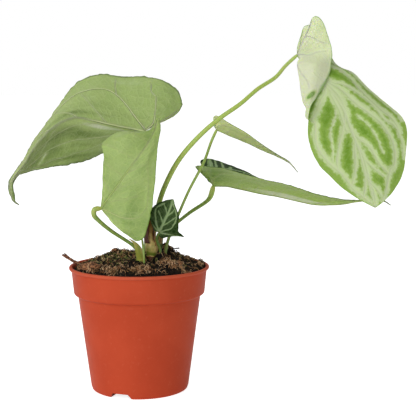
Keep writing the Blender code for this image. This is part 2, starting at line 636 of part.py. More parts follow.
def stalk_path(stalk, blade):
    """The stalk from its foot in the soil to just short of the blade's joint."""
    path = [np.array(place, float) for place in stalk["path"]]
    x, y, surface = path[0]
    foot = [np.array((x, y, surface - depth)) for depth in (FOOT_DEPTH, FOOT_DEPTH / 2)]
    joint = np.array(blade["midrib"][0], float)
    back = path[-1] - joint
    path[-1] = joint + back / np.linalg.norm(back) * STALK_END_GAP
    return np.array(foot + path)


def bark_chip(length, width, height, turn, tilt, seed):
    """An angular flake: the hull of a few seeded points in a flattened box."""
    rng = np.random.default_rng(seed)
    points = rng.uniform(-1, 1, (16, 3))
    points /= np.max(np.abs(points), axis=1, keepdims=True) ** 0.7
    points *= np.array((length, width, height)) / 2
    turned_by = Matrix.Rotation(np.radians(turn), 3, "Z") @ Matrix.Rotation(np.radians(tilt), 3, "Y")
    shape = bmesh.new()
    for point in points:
        shape.verts.new(turned_by @ Vector(point))
    hull = bmesh.ops.convex_hull(shape, input=shape.verts)
    inside = hull["geom_interior"] + hull["geom_unused"]
    loose = {part for part in inside if isinstance(part, bmesh.types.BMVert)}
    bmesh.ops.delete(shape, geom=list(loose), context="VERTS")
    bmesh.ops.recalc_face_normals(shape, faces=shape.faces)
    shape.verts.index_update()
    places = np.array([vert.co for vert in shape.verts])
    faces = [tuple(vert.index for vert in face.verts) for face in shape.faces]
    shape.free()
    return places, faces


def drop_onto(soil, places, faces):
    """Lowers or lifts places until their solid lies a touch above the soil."""
    soil_places = [vert.co / MM for vert in soil.data.vertices]
    ground = BVHTree.FromPolygons(soil_places, [face.vertices for face in soil.data.polygons])
    corners = [Vector(place) for place in places]
    piece = BVHTree.FromPolygons(corners, faces)
    down, up = Vector((0, 0, -1)), Vector((0, 0, 1))
    clearances = []
    middles = [sum((corners[k] for k in face), Vector()) / len(face) for face in faces]
    for sample in corners + middles:
        hit = ground.ray_cast(Vector((sample.x, sample.y, 2 * POT_HEIGHT)), down)[0]
        if hit:
            clearances.append(sample.z - hit.z)
    for place in soil_places:
        hit = piece.ray_cast(Vector((place.x, place.y, 0)), up)[0]
        if hit and place.z > COLLAR_FOOT_HEIGHT + STEP_CLEARANCE:
            clearances.append(hit.z - place.z)
    return np.asarray(places) - (0, 0, min(clearances) - TOUCH_GAP - 0.1)


def main():
    """Clears the scene and builds every piece."""
    for old in list(bpy.data.objects):
        bpy.data.objects.remove(old)
    bpy.context.scene.unit_settings.system = "METRIC"
    add_pot()
    paths = {name: stalk_path(stalk, LEAVES[name]) for name, stalk in STALKS.items()}
    holes = [(*path[0][:2], STALKS[name]["radii"][0], path[0][2] - 1) for name, path in paths.items()]
    holes.append((*CROWN_PATH[0][:2], CROWN_RADII[2], CROWN_PATH[0][2] - 2))
    holes.append((*SHOOT_PATH[0][:2], SHOOT_RADII[1], SHOOT_PATH[0][2] - 1))
    soil = add_soil(holes)
    add_solid("crown", *tube(CROWN_PATH, CROWN_RADII, 16, 14), CROWN_COLOUR, 0.6)
    add_solid("young_shoot", *tube(SHOOT_PATH, SHOOT_RADII, 10, 7), STALK_GREEN, 0.45)
    for name, path in paths.items():
        add_solid(f"stalk_{name}", *tube(path, STALKS[name]["radii"], 18, STALK_SIDES), STALK_GREEN, 0.45)
    add_leaf("leaf_a", LEAVES["a"], UNDERSIDE_GREEN)
    add_leaf("leaf_b", LEAVES["b"], UNDERSIDE_GREEN)
    add_leaf("leaf_c", LEAVES["c"], DARK_GREEN, lobe_rows=6, blade_rows=9, columns=6)
    add_leaf("leaf_d", LEAVES["d"], SILVER_GREEN)
    add_leaf("leaf_e", LEAVES["e"], UNDERSIDE_GREEN)
    add_leaf("leaf_f", LEAVES["f"], UNDERSIDE_GREEN)
    for name, (x, y, *shape) in BARK_CHIPS.items():
        places, faces = bark_chip(*shape)
        places = places + (x, y, mound(x, y))
        add_solid(name, drop_onto(soil, places, faces), faces, BARK_COLOUR, 0.8, smooth=False)
    for name, path, radii in (("twig", TWIG_PATH, TWIG_RADII), ("small_stick", STICK_PATH, STICK_RADII)):
        places, faces = tube(path, radii, 7, 7)
        add_solid(name, drop_onto(soil, places, faces), faces, BARK_COLOUR, 0.8)


main()
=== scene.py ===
"""Looks of the potted anthurium: six heart-shaped leaves over peat in a terracotta-coloured nursery pot.

Places and sizes are millimetres in the part's own frame: +Z up, the camera in front at -Y, and the origin
at the centre of the pot's base. Meshes are scaled to metres as they are made.
"""
import logging
from dataclasses import dataclass, field
from enum import Enum
from math import pi

import bmesh
import bpy
import numpy as np
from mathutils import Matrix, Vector


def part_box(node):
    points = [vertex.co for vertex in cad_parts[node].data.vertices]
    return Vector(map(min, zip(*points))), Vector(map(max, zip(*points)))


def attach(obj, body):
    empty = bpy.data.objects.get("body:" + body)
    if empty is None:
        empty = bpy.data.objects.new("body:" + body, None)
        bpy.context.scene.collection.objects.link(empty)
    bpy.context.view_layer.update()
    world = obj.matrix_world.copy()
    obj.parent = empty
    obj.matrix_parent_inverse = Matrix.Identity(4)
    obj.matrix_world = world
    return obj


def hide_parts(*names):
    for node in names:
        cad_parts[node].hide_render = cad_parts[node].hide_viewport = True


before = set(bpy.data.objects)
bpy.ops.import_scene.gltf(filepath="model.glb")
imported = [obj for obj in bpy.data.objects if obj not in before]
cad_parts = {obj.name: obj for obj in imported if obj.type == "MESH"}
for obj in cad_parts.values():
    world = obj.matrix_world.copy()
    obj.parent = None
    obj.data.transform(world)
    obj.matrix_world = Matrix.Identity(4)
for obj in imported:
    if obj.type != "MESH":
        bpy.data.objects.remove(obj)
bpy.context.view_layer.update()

MM = 0.001
BODY = "root"
CORNERS = ((-1, -1), (1, -1), (1, 1), (-1, 1))
END_REACH = 0.45
END_WIDTH = 0.5
log = logging.getLogger("anthurium")

Array = np.ndarray
Colour = tuple[int, int, int]
Place = tuple[float, float, float]
Share = tuple[float, float]
Row = tuple[float, ...]
Rows = tuple[Row, ...]
Path = tuple[Place, ...]
Object = bpy.types.Object
Material = bpy.types.Material
Socket = bpy.types.NodeSocket


class Side(Enum):
    """A half of a leaf: for FIRST, outwards crossed with tipwards faces the underside."""

    FIRST = 1
    SECOND = -1


def srgb(colour: Colour) -> tuple[float, float, float, float]:
    """An 8-bit screen colour as the linear colour that a shader takes."""
    value = np.asarray(colour, float) / 255
    linear = np.where(value <= 0.04045, value / 12.92, ((value + 0.055) / 1.055) ** 2.4)
    return float(linear[0]), float(linear[1]), float(linear[2]), 1.0


def unit(vectors: Array) -> Array:
    """Vectors of length one."""
    return vectors / np.maximum(np.linalg.norm(vectors, axis=-1, keepdims=True), 1e-9)


def knots(points: Array) -> Array:
    """The parameter of each point: the root of the distance gone, which keeps a curve tight in its turns."""
    step = np.sqrt(np.linalg.norm(np.diff(points, axis=0), axis=1))
    return np.concatenate([[0], np.cumsum(np.maximum(step, 1e-6))])


def smooth_through(points: Array, t: Array, at: Array) -> Array:
    """A smooth curve through points: cubic between neighbours, with the slope of the points on each side.

    Args:
        points: the places that it passes, in any number of dimensions.
        t: the parameter of each point.
        at: the parameters to read.

    Returns:
        One place for each parameter.
    """
    points = np.asarray(points, float)
    flat = points.reshape(len(points), -1)
    slope = np.gradient(flat, t, axis=0)
    index = np.clip(np.searchsorted(t, at, side="right") - 1, 0, len(t) - 2)
    span = (t[index + 1] - t[index])[:, None]
    s = (at - t[index])[:, None] / span
    made = ((1 + 2 * s) * (1 - s) ** 2 * flat[index] + s * (1 - s) ** 2 * span * slope[index]
            + s * s * (3 - 2 * s) * flat[index + 1] + s * s * (s - 1) * span * slope[index + 1])
    return made.reshape((len(at),) + points.shape[1:])


def smooth_line(points: Array, count: int) -> Array:
    """A smooth curve through points, read at evenly spaced parameters."""
    points = np.asarray(points, float)
    t = knots(points)
    return smooth_through(points, t, np.linspace(0, t[-1], count))


def along(line: Array, shares: Array) -> Array:
    """Places at shares of a smooth line's length."""
    fine = smooth_line(line, 400)
    gone = np.concatenate([[0], np.cumsum(np.linalg.norm(np.diff(fine, axis=0), axis=1))])
    at = np.asarray(shares) * gone[-1]
    return np.stack([np.interp(at, gone, fine[:, axis]) for axis in range(3)], -1)


def grid_faces(rows: int, columns: int, closed: bool = False) -> Array:
    """Triangles of a grid whose places are numbered row by row. closed joins its last column to its first."""
    number = np.arange(rows * columns).reshape(rows, columns)
    if closed:
        number = np.concatenate([number, number[:, :1]], axis=1)
    a, b, c, d = number[:-1, :-1], number[:-1, 1:], number[1:, 1:], number[1:, :-1]
    return np.stack([a, b, c, a, c, d], -1).reshape(-1, 3)


class Grain:
    """Smooth seeded noise: random values on a cubic lattice, blended by smoothstep between its corners."""

    SIZE = 32

    def __init__(self, seed: int) -> None:
        """Draws the lattice's values."""
        self.values = np.random.default_rng(seed).uniform(-1, 1, (self.SIZE,) * 3)

    def at(self, places: Array, wavelength: float, layers: int = 1) -> Array:
        """Noise from about -1 to 1: each further layer is half as wide and half as high.

        Args:
            places: any array of places, with x, y and z last.
            wavelength: the lattice's spacing for the first layer.
            layers: how many layers are added up.

        Returns:
            One value for each place.
        """
        total = np.zeros(places.shape[:-1])
        for layer in range(layers):
            scaled = places * 2 ** layer / wavelength + 7.3 * layer
            base = np.floor(scaled).astype(int)
            weight = scaled - base
            weight = weight * weight * (3 - 2 * weight)
            for corner in np.ndindex(2, 2, 2):
                share = np.prod(np.where(corner, weight, 1 - weight), axis=-1)
                i, j, k = np.moveaxis((base + corner) % self.SIZE, -1, 0)
                total += share * self.values[i, j, k] / 2 ** layer
        return total


def placed(name: str, data: bpy.types.ID, place: Place) -> Object:
    """A new object in the scene, at a place in millimetres."""
    made = bpy.data.objects.new(name, data)
    made.location = Vector(place) * MM
    bpy.context.scene.collection.objects.link(made)
    return made


@dataclass
class Shell:
    """A surface before it becomes a mesh.

    Attributes:
        places: x, y and z of each place.
        faces: three numbers of places for each triangle, anticlockwise seen from outside.
        finish: the number of each face's material.
        marks: named values for the materials, one for each place.
    """

    places: Array
    faces: Array
    finish: Array | None = None
    marks: dict[str, Array] = field(default_factory=dict)

    @staticmethod
    def join(shells: "list[Shell]") -> "Shell":
        """Several shells as one. They carry the same marks."""
        starts = np.cumsum([0] + [len(shell.places) for shell in shells[:-1]])
        finishes = [np.zeros(len(s.faces), int) if s.finish is None else s.finish for s in shells]
        return Shell(
            np.concatenate([shell.places for shell in shells]),
            np.concatenate([shell.faces + start for shell, start in zip(shells, starts)]),
            np.concatenate(finishes),
            {name: np.concatenate([shell.marks[name] for shell in shells]) for name in shells[0].marks},
        )

    def mark(self, name: str, value: float | Array) -> "Shell":
        """Gives every place a value, or one value for all."""
        self.marks[name] = np.broadcast_to(np.asarray(value, float), (len(self.places),)).copy()
        return self

    def piece(self, name: str, finishes: list[Material], slot: str = "", node: str = "",
              smooth: bool = True) -> Object:
        """Makes the mesh in metres and its object, which rides on the pot's body.

        Args:
            name: the piece's name.
            finishes: its materials, in the order of finish's numbers.
            slot: not used.
            node: the frame's node that it replaces, if any.
            smooth: whether its faces are shaded smooth.

        Returns:
            The object, at the origin.
        """
        mesh = bpy.data.meshes.new(name)
        count = len(self.faces)
        mesh.vertices.add(len(self.places))
        mesh.vertices.foreach_set("co", (self.places * MM).astype(np.float32).ravel())
        mesh.loops.add(3 * count)
        mesh.loops.foreach_set("vertex_index", self.faces.astype(np.int32).ravel())
        mesh.polygons.add(count)
        mesh.polygons.foreach_set("loop_start", np.arange(0, 3 * count, 3, dtype=np.int32))
        mesh.polygons.foreach_set("use_smooth", np.full(count, smooth))
        if self.finish is not None:
            mesh.polygons.foreach_set("material_index", self.finish.astype(np.int32))
        for mark, values in self.marks.items():
            mesh.attributes.new(mark, "FLOAT", "POINT").data.foreach_set("value", values.astype(np.float32))
        for finish in finishes:
            mesh.materials.append(finish)
        mesh.update(calc_edges=True)
        mesh.validate()
        made = placed(name, mesh, (0, 0, 0))
        log.info("%s: %d triangles", name, count)
        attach(made, BODY)
        if node:
            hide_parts(node)
        return made


def capped_faces(rings: int, sides: int) -> Array:
    """Triangles of a tube made of rings, with a fan over each end."""
    fan = np.arange(1, sides - 1)
    first = np.stack([0 * fan, fan + 1, fan], 1)
    last = np.stack([0 * fan, fan, fan + 1], 1) + (rings - 1) * sides
    return np.concatenate([grid_faces(rings, sides, closed=True), first, last])


def poled_faces(rings: int, sides: int) -> Array:
    """Triangles of rings turned about an axis. Two poles close them, numbered after the rings' places."""
    number = np.arange(rings * sides).reshape(rings, sides)
    low, high = [np.full(sides, number.size + k) for k in range(2)]
    bottom = np.stack([low, np.roll(number[0], -1), number[0]], 1)
    top = np.stack([high, number[-1], np.roll(number[-1], -1)], 1)
    return np.concatenate([grid_faces(rings, sides, closed=True), bottom, top])


def circle(sides: int) -> Array:
    """Places round a unit circle, as (cos a, sin a)."""
    angle = np.linspace(0, 2 * pi, sides, endpoint=False)
    return np.stack([np.cos(angle), np.sin(angle)], -1)


def lattice(rows: int, columns: int, low: float = -1) -> list[Array]:
    """Two grids of shares: from 0 to 1 down the rows, and from low to 1 across the columns."""
    return np.meshgrid(np.linspace(0, 1, rows), np.linspace(low, 1, columns), indexing="ij")


def around(angle: Array, side: Array, other: Array) -> Array:
    """Directions at an angle between two sides: cos a side + sin a other."""
    return np.cos(angle)[..., None] * side + np.sin(angle)[..., None] * other


def evenly(shares: Array, values: Row) -> Array:
    """Values spaced evenly from 0 to 1, read at shares."""
    return np.interp(shares, np.linspace(0, 1, len(values)), values)


def tubes(lines: Array, radii: Array, sides: int, across: Place = (0, 1, 0)) -> Shell:
    """Round closed tubes: each ring is its centre plus the radius times (cos a side + sin a other).

    Args:
        lines: centres, of one tube or of a row of tubes.
        radii: the radius at each centre.
        sides: places round a ring.
        across: a direction that no tube runs along.

    Returns:
        The tubes, with rounded ends and the mark reach, from 0 at the start to 1 at the end.
    """
    lines = lines.reshape((-1,) + lines.shape[-2:])
    radii = np.broadcast_to(radii, lines.shape[:2])
    ahead = unit(np.gradient(lines, axis=1))
    ends = [(0, -1.0), (-1, 1.0)]
    start, end = [lines[:, k] + way * ahead[:, k] * radii[:, k, None] * END_REACH for k, way in ends]
    lines = np.concatenate([start[:, None], lines, end[:, None]], axis=1)
    ahead = np.concatenate([ahead[:, :1], ahead, ahead[:, -1:]], axis=1)
    radii = np.concatenate([radii[:, :1] * END_WIDTH, radii, radii[:, -1:] * END_WIDTH], axis=1)
    side = unit(np.cross(ahead, across))
    other = np.cross(ahead, side)
    ring = around(np.linspace(0, 2 * pi, sides, endpoint=False), side[:, :, None], other[:, :, None])
    places = lines[:, :, None] + radii[:, :, None, None] * ring
    count, rings = lines.shape[:2]
    faces = capped_faces(rings, sides) + (np.arange(count) * rings * sides)[:, None, None]
    shell = Shell(places.reshape(-1, 3), faces.reshape(-1, 3))
    return shell.mark("reach", np.tile(np.repeat(np.linspace(0, 1, rings), sides), count))


def layered_faces(faces: Array, start: Array, end: Array, count: int) -> Array:
    """Triangles of a sheet's front, of its back, count places on, and of the rim between them."""
    back = start + count
    rim = [np.stack([end, start, back], 1), np.stack([end, back, end + count], 1)]
    return np.concatenate([faces, faces[:, ::-1] + count, *rim])


def thick_sheet(grid: Array, thickness: float) -> Shell:
    """A closed sheet: the grid plus and minus half the thickness along its normal, stitched at the rim."""
    rows, columns = grid.shape[:2]
    normal = unit(np.cross(np.gradient(grid, axis=1), np.gradient(grid, axis=0)))
    layers = [(grid + way * normal * thickness / 2).reshape(-1, 3) for way in (1, -1)]
    number = np.arange(rows * columns).reshape(rows, columns)
    rim = np.concatenate([number[0, :-1], number[:-1, -1], number[-1, :0:-1], number[:0:-1, 0]])
    faces = layered_faces(grid_faces(rows, columns), rim, np.roll(rim, -1), rows * columns)
    return Shell(np.concatenate(layers), faces)


def ball(level: int) -> tuple[Array, Array]:
    """Places and triangles of a unit ball made of equal triangles."""
    shape = bmesh.new()
    bmesh.ops.create_icosphere(shape, subdivisions=level, radius=1.0)
    shape.verts.index_update()
    places = np.array([vert.co for vert in shape.verts])
    faces = np.array([[vert.index for vert in face.verts] for face in shape.faces])
    shape.free()
    return places, faces


def turns(rng: np.random.Generator, count: int) -> Array:
    """Random rotation matrices, from random quaternions."""
    w, x, y, z = unit(rng.normal(size=(count, 4))).T
    return np.stack([
        1 - 2 * (y * y + z * z), 2 * (x * y - z * w), 2 * (x * z + y * w),
        2 * (x * y + z * w), 1 - 2 * (x * x + z * z), 2 * (y * z - x * w),
        2 * (x * z - y * w), 2 * (y * z + x * w), 1 - 2 * (x * x + y * y),
    ], -1).reshape(count, 3, 3)


class Recipe:
    """A material's nodes, added one at a time. Each method returns the socket that the next one reads."""

    def __init__(self, name: str) -> None:
        """Starts a material that reads Object coordinates."""
        self.material = bpy.data.materials.new(name)
        self.material.use_nodes = True
        self.tree = self.material.node_tree
        self.shader = self.tree.nodes["Principled BSDF"]
        self.place = self.add("ShaderNodeTexCoord", []).outputs["Object"]

    def add(self, kind: str, inputs: list, **settings: object) -> bpy.types.Node:
        """Adds a node.

        Args:
            kind: Blender's name for the node.
            inputs: pairs of a socket's name or number and a value or another node's socket.
            settings: the node's own properties.

        Returns:
            The node.
        """
        node = self.tree.nodes.new(kind)
        for key, value in settings.items():
            setattr(node, key, value)
        for key, value in inputs:
            if isinstance(value, Socket):
                self.tree.links.new(value, node.inputs[key])
            else:
                node.inputs[key].default_value = value
        return node

    def mark(self, name: str) -> Socket:
        """A value that the mesh carries."""
        return self.add("ShaderNodeAttribute", [], attribute_name=name).outputs["Fac"]

    def scaled(self, size: float, stretch: Place) -> Socket:
        """Object coordinates in units of size, drawn out along the axes by stretch."""
        scale = [1 / (size * MM * s) for s in stretch]
        return self.add("ShaderNodeMapping", [("Vector", self.place), ("Scale", scale)]).outputs["Vector"]

    def height(self) -> Socket:
        """The height above the ground, in millimetres."""
        level = self.add("ShaderNodeSeparateXYZ", [("Vector", self.place)]).outputs["Z"]
        return self.math("MULTIPLY", level, 1 / MM)

    def noise(self, size: float, detail: float = 3, stretch: Place = (1, 1, 1), twist: float = 0) -> Socket:
        """Soft noise of a given size, about 0.5 on average."""
        inputs = [("Vector", self.scaled(size, stretch)), ("Scale", 1)]
        inputs += [("Detail", detail), ("Distortion", twist)]
        return self.add("ShaderNodeTexNoise", inputs).outputs["Fac"]

    def network(self, size: float) -> Socket:
        """Distance from the borders between cells: 0 on the border, about 0.4 in a cell's middle."""
        inputs = [("Vector", self.scaled(size, (1, 1, 1))), ("Scale", 1), ("Randomness", 1)]
        return self.add("ShaderNodeTexVoronoi", inputs, feature="DISTANCE_TO_EDGE").outputs["Distance"]

    def math(self, operation: str, *values: float | Socket) -> Socket:
        """One step of arithmetic."""
        return self.add("ShaderNodeMath", list(enumerate(values)), operation=operation).outputs[0]

    def plus(self, value: Socket, more: Socket, share: float = 1) -> Socket:
        """A value plus a share of another."""
        return self.math("ADD", value, more if share == 1 else self.math("MULTIPLY", more, share))

    def fade(self, value: Socket, low: float, high: float, start: float = 0, end: float = 1) -> Socket:
        """A smooth step from start, where value is low, to end, where it is high."""
        inputs = [("Value", value), ("From Min", low), ("From Max", high), ("To Min", start), ("To Max", end)]
        return self.add("ShaderNodeMapRange", inputs, interpolation_type="SMOOTHSTEP").outputs["Result"]

    def coats(self, colour: Socket | Colour, *coats: tuple) -> Socket:
        """Lays colours over a ground colour, one after the other.

        Args:
            colour: the ground.
            coats: each as (the value that it follows, its low, its high, how much there is at its low and at
                its high, colour).

        Returns:
            The colour with its last coat.
        """
        for value, low, high, start, end, coat in coats:
            pair = [each if isinstance(each, Socket) else srgb(each) for each in (colour, coat)]
            inputs = [(0, self.fade(value, low, high, start, end)), (6, pair[0]), (7, pair[1])]
            colour = self.add("ShaderNodeMix", inputs, data_type="RGBA").outputs[2]
        return colour

    def ramp(self, value: Socket, *stops: tuple[float, Colour]) -> Socket:
        """Colours along a value."""
        node = self.add("ShaderNodeValToRGB", [("Fac", value)])
        elements = node.color_ramp.elements
        while len(elements) < len(stops):
            elements.new(1)
        for element, (position, colour) in zip(elements, stops):
            element.position = position
            element.color = srgb(colour)
        return node.outputs["Color"]

    def bump(self, height: Socket, depth: float, under: Socket | None = None) -> Socket:
        """A normal tilted by a height, whose full range is depth."""
        inputs = [("Height", height), ("Strength", 1), ("Distance", depth * MM)]
        inputs += [("Normal", under)] if under else []
        return self.add("ShaderNodeBump", inputs).outputs["Normal"]

    def done(self, colour: Socket, rough: float | Socket, normal: Socket,
             **constants: float | Place) -> Material:
        """Feeds the shader. The constants are its other sockets' names, with _ for a space, and values."""
        inputs = self.shader.inputs
        self.tree.links.new(colour, inputs["Base Color"])
        self.tree.links.new(normal, inputs["Normal"])
        if isinstance(rough, Socket):
            self.tree.links.new(rough, inputs["Roughness"])
        else:
            inputs["Roughness"].default_value = rough
        for name, value in constants.items():
            inputs[name.replace("_", " ")].default_value = value
        return self.material


@dataclass(frozen=True)
class UndersideFinish:
    """A leaf's matt pale underside, with raised veins, a fine net between them and a painted highlight where
    its tone falls low.

    Attributes:
        rim: how far the darker margin reaches in, in millimetres.
    """

    name: str
    light: Colour
    deep: Colour
    vein: Colour
    edge: Colour
    painted_highlight: Colour = (216, 221, 200)
    rim: float = 0.95

    def material(self) -> Material:
        """Mottled green, deeper where the leaf's tone says and painted pale as a highlight where it falls
        low, with a net of small veins.
        """
        r = Recipe(self.name)
        fleck = r.noise(2.2, 4)
        net, wide_net, side = r.network(2.6), r.network(6.5), r.mark("side")
        tone = r.plus(r.mark("tone"), r.fade(r.noise(22, 3), 0.35, 0.65), 0.18)
        tone = r.plus(tone, r.mark("streak"), 0.24)
        colour = r.coats(
            self.light,
            (tone, 0, 1, 0, 1, self.deep),
            # painted highlight: a pale glare colour where the tone falls low
            (tone, -1.1, -0.15, 0.8, 0, self.painted_highlight),
            (tone, 1.3, 2, 0, 0.9, self.edge),
            (fleck, 0.35, 0.75, 0, 0.12, self.deep),
            (net, 0, 0.12, 0.1, 0, self.vein),
            (wide_net, 0, 0.07, 0.16, 0, self.vein),
            (side, -0.1, 0.55, 0.16, 0, self.vein),
            (r.mark("band"), -0.6, 1.2, 0.15, 0, self.vein),
            (r.mark("ridge"), 0.2, 1, 0, 0.8, self.vein),
            # painted shade: one flank of each raised vein and the midrib's crest, darkened in the margin's
            # colour
            (r.mark("painted_vein_shade"), 0, 0.9, 0, 0.75, self.edge),
            (r.mark("edge"), 0.15, self.rim, 0.75, 0, self.edge),
        )
        relief = r.plus(r.fade(wide_net, 0, 0.14, 1, 0), r.fade(net, 0, 0.2, 0.5, 0))
        relief = r.plus(relief, r.fade(side, 0, 0.9, 0.9, 0))
        normal = r.bump(r.noise(0.7, 3), 0.05, r.bump(relief, 0.1))
        return r.done(colour, r.fade(fleck, 0.3, 0.7, 0.42, 0.52), normal, Subsurface_Weight=0.5,
                      Subsurface_Scale=0.0018, Subsurface_Radius=LEAF_GLOW, Specular_IOR_Level=0.3)


@dataclass(frozen=True)
class UpperFinish:
    """A leaf's upper side: a green ground crossed by silver bands along its veins.

    Attributes:
        core: the line along a band's middle.
        softness: how far a band's frayed edge reaches, in millimetres.
        side_share: how silver the small veins are.
        mottle: how much silver there is in flecks between the bands.
        spread: how much wider the bands are than the veins say, in millimetres.
    """

    name: str
    ground: Colour
    deep: Colour
    band: Colour
    core: Colour
    softness: float
    side_share: float
    roughness: float
    gloss: float = 0.3
    mottle: float = 0.1
    spread: float = 0.0

    def material(self) -> Material:
        """The ground deepens away from the bands. Small veins comb the bands' frayed edges into it."""
        r = Recipe(self.name)
        side, edge, line, net = r.mark("side"), r.mark("edge"), r.mark("line"), r.network(3.4)
        fray = r.math("MULTIPLY", r.math("SUBTRACT", r.noise(3.4, 5), 0.5), 4 * self.softness)
        comb = r.fade(side, -0.1, 0.9, self.side_share * 2.2 * self.softness, 0)
        gap = r.math("SUBTRACT", r.plus(r.mark("band"), fray), comb)
        gap = r.math("SUBTRACT", gap, self.spread)
        colour = r.coats(
            self.ground,
            (gap, 0.4, 5, 0, 1, self.deep),
            (r.noise(9, 3), 0.35, 0.7, 0, 0.35, self.ground),
            (r.noise(0.8, 3), 0.35, 0.7, 0, 0.25, self.ground),
            (edge, 1, 8, 0.85, 0, self.ground),
            (r.noise(2.4, 5), 0.5, 0.72, 0, self.mottle, self.band),
            (net, 0, 0.11, 0.35 * self.side_share, 0, self.band),
            (r.plus(side, fray, 0.25), -0.15, 0.5, 0.7 * self.side_share, 0, self.band),
            (gap, -0.7 * self.softness, 0.9 * self.softness, 1, 0, self.band),
            (line, -0.1, 0.5, 0.45, 0, self.core),
            (edge, 0.1, 0.8, 0.4, 0, self.deep),
        )
        relief = r.plus(r.fade(line, -0.2, 1.3), r.fade(net, 0, 0.18, 0, 0.25))
        relief = r.plus(relief, r.fade(side, -0.1, 0.9, 0, 0.35))
        normal = r.bump(r.noise(0.6, 2), 0.04, r.bump(relief, 0.14))
        rough = r.fade(r.noise(5, 3), 0.3, 0.7, self.roughness - 0.05, self.roughness + 0.07)
        return r.done(colour, rough, normal, Subsurface_Weight=0.35, Subsurface_Scale=0.0016,
                      Subsurface_Radius=LEAF_GLOW, Specular_IOR_Level=self.gloss)


@dataclass(frozen=True)
class StalkFinish:
    """A smooth fleshy stalk, browner at the soil and paler at the swollen joint below the blade."""

    name: str
    foot: Colour
    middle: Colour
    top: Colour

    def material(self) -> Material:
        """Green along the stalk with fine lengthwise streaks and a few pale specks."""
        r = Recipe(self.name)
        streak = r.noise(1.4, 3, (1, 1, 9))
        colour = r.coats(
            r.ramp(r.mark("reach"), (0.08, self.foot), (0.3, self.middle), (0.8, self.middle),
                   (0.97, self.top)),
            (streak, 0.35, 0.7, 0, 0.3, self.top),
            (r.noise(18, 2), 0.45, 0.75, 0, 0.2, self.foot),
            (r.noise(0.5, 1), 0.68, 0.76, 0, 0.25, self.top),
        )
        return r.done(colour, r.fade(streak, 0.3, 0.7, 0.34, 0.46), r.bump(streak, 0.04),
                      Subsurface_Weight=0.2, Subsurface_Scale=0.001)


@dataclass(frozen=True)
class PlasticFinish:
    """Thin satin injection-moulded plastic, with faint clouds, dust and a painted highlight round the lower
    edge of the lip.
    """

    name: str
    body: Colour
    shade: Colour
    dust_and_lip_highlight: Colour

    def material(self) -> Material:
        """An even colour with faint clouds, dust and fine moulding grain."""
        r = Recipe(self.name)
        speck = r.noise(3.2, 5)
        dust = r.fade(speck, 0.56, 0.78, 0, 0.16)
        colour = r.coats(self.body, (r.noise(38, 3), 0.35, 0.68, 0, 1, self.shade),
                         (speck, 0.56, 0.78, 0, 0.16, self.dust_and_lip_highlight),
                         # painted highlight: a pale band round the pot at the lower edge of the lip
                         (r.height(), 103.8, 104.6, 0, 0.3, self.dust_and_lip_highlight))
        normal = r.bump(r.noise(0.45, 2), 0.02, r.bump(r.noise(9, 2, (1, 1, 3)), 0.12))
        rough = r.plus(r.fade(r.noise(14, 4), 0.3, 0.7, 0.36, 0.46), dust, 0.6)
        return r.done(colour, rough, normal, Specular_IOR_Level=0.05)


@dataclass(frozen=True)
class EarthFinish:
    """Peat and what lies in it, coloured by each grain's own tone."""

    name: str
    stops: tuple[tuple[float, Colour], ...]
    tint: Colour
    roughness: float = 0.92

    def material(self) -> Material:
        """A ramp over the grain's tone and fine noise, with a green or brown tint in patches."""
        r = Recipe(self.name)
        fine = r.noise(0.9, 5)
        tone = r.plus(r.mark("tone"), r.math("SUBTRACT", fine, 0.5), 0.7)
        colour = r.coats(r.ramp(tone, *self.stops), (r.noise(13, 4), 0.48, 0.66, 0, 0.35, self.tint))
        return r.done(colour, self.roughness, r.bump(fine, 0.35), Specular_IOR_Level=0.25)


@dataclass(frozen=True)
class PaperyFinish:
    """Old leaf bases: green where they are alive, papery brown where they have dried."""

    name: str
    alive: Colour
    belly: Colour
    dry: Colour
    dark: Colour

    def material(self) -> Material:
        """A ramp from green to dry brown over the mark dry, with lengthwise fibres in colour and relief."""
        r = Recipe(self.name)
        fibre = r.noise(0.9, 4, (1, 1, 11))
        dry = r.plus(r.mark("dry"), r.math("SUBTRACT", r.noise(3, 4), 0.5), 0.3)
        colour = r.ramp(dry, (0.12, self.alive), (0.36, self.belly), (0.64, self.dry), (0.92, self.dark))
        colour = r.coats(colour, (fibre, 0.45, 0.75, 0, 0.35, self.dry))
        return r.done(colour, r.fade(fibre, 0.3, 0.7, 0.32, 0.5), r.bump(fibre, 0.3), Subsurface_Weight=0.1,
                      Subsurface_Scale=0.0008, Specular_IOR_Level=0.35)


@dataclass(frozen=True)
class BarkFinish:
    """Rough wood and bark, with the grain along one way and paler torn rims."""

    name: str
    light: Colour
    dark: Colour
    stretch: Place
    torn: Colour = (222, 178, 134)

    def material(self) -> Material:
        """Long fibres of two browns over deep cracks."""
        r = Recipe(self.name)
        grain = r.noise(0.8, 6, self.stretch, 0.6)
        colour = r.coats(self.dark, (grain, 0.42, 0.62, 0, 1, self.light),
                         (r.noise(4, 3), 0.5, 0.75, 0, 0.6, self.dark),
                         (r.mark("rim"), 0.62, 0.95, 0, 0.6, self.torn))
        return r.done(colour, 0.85, r.bump(grain, 0.5), Specular_IOR_Level=0.25)


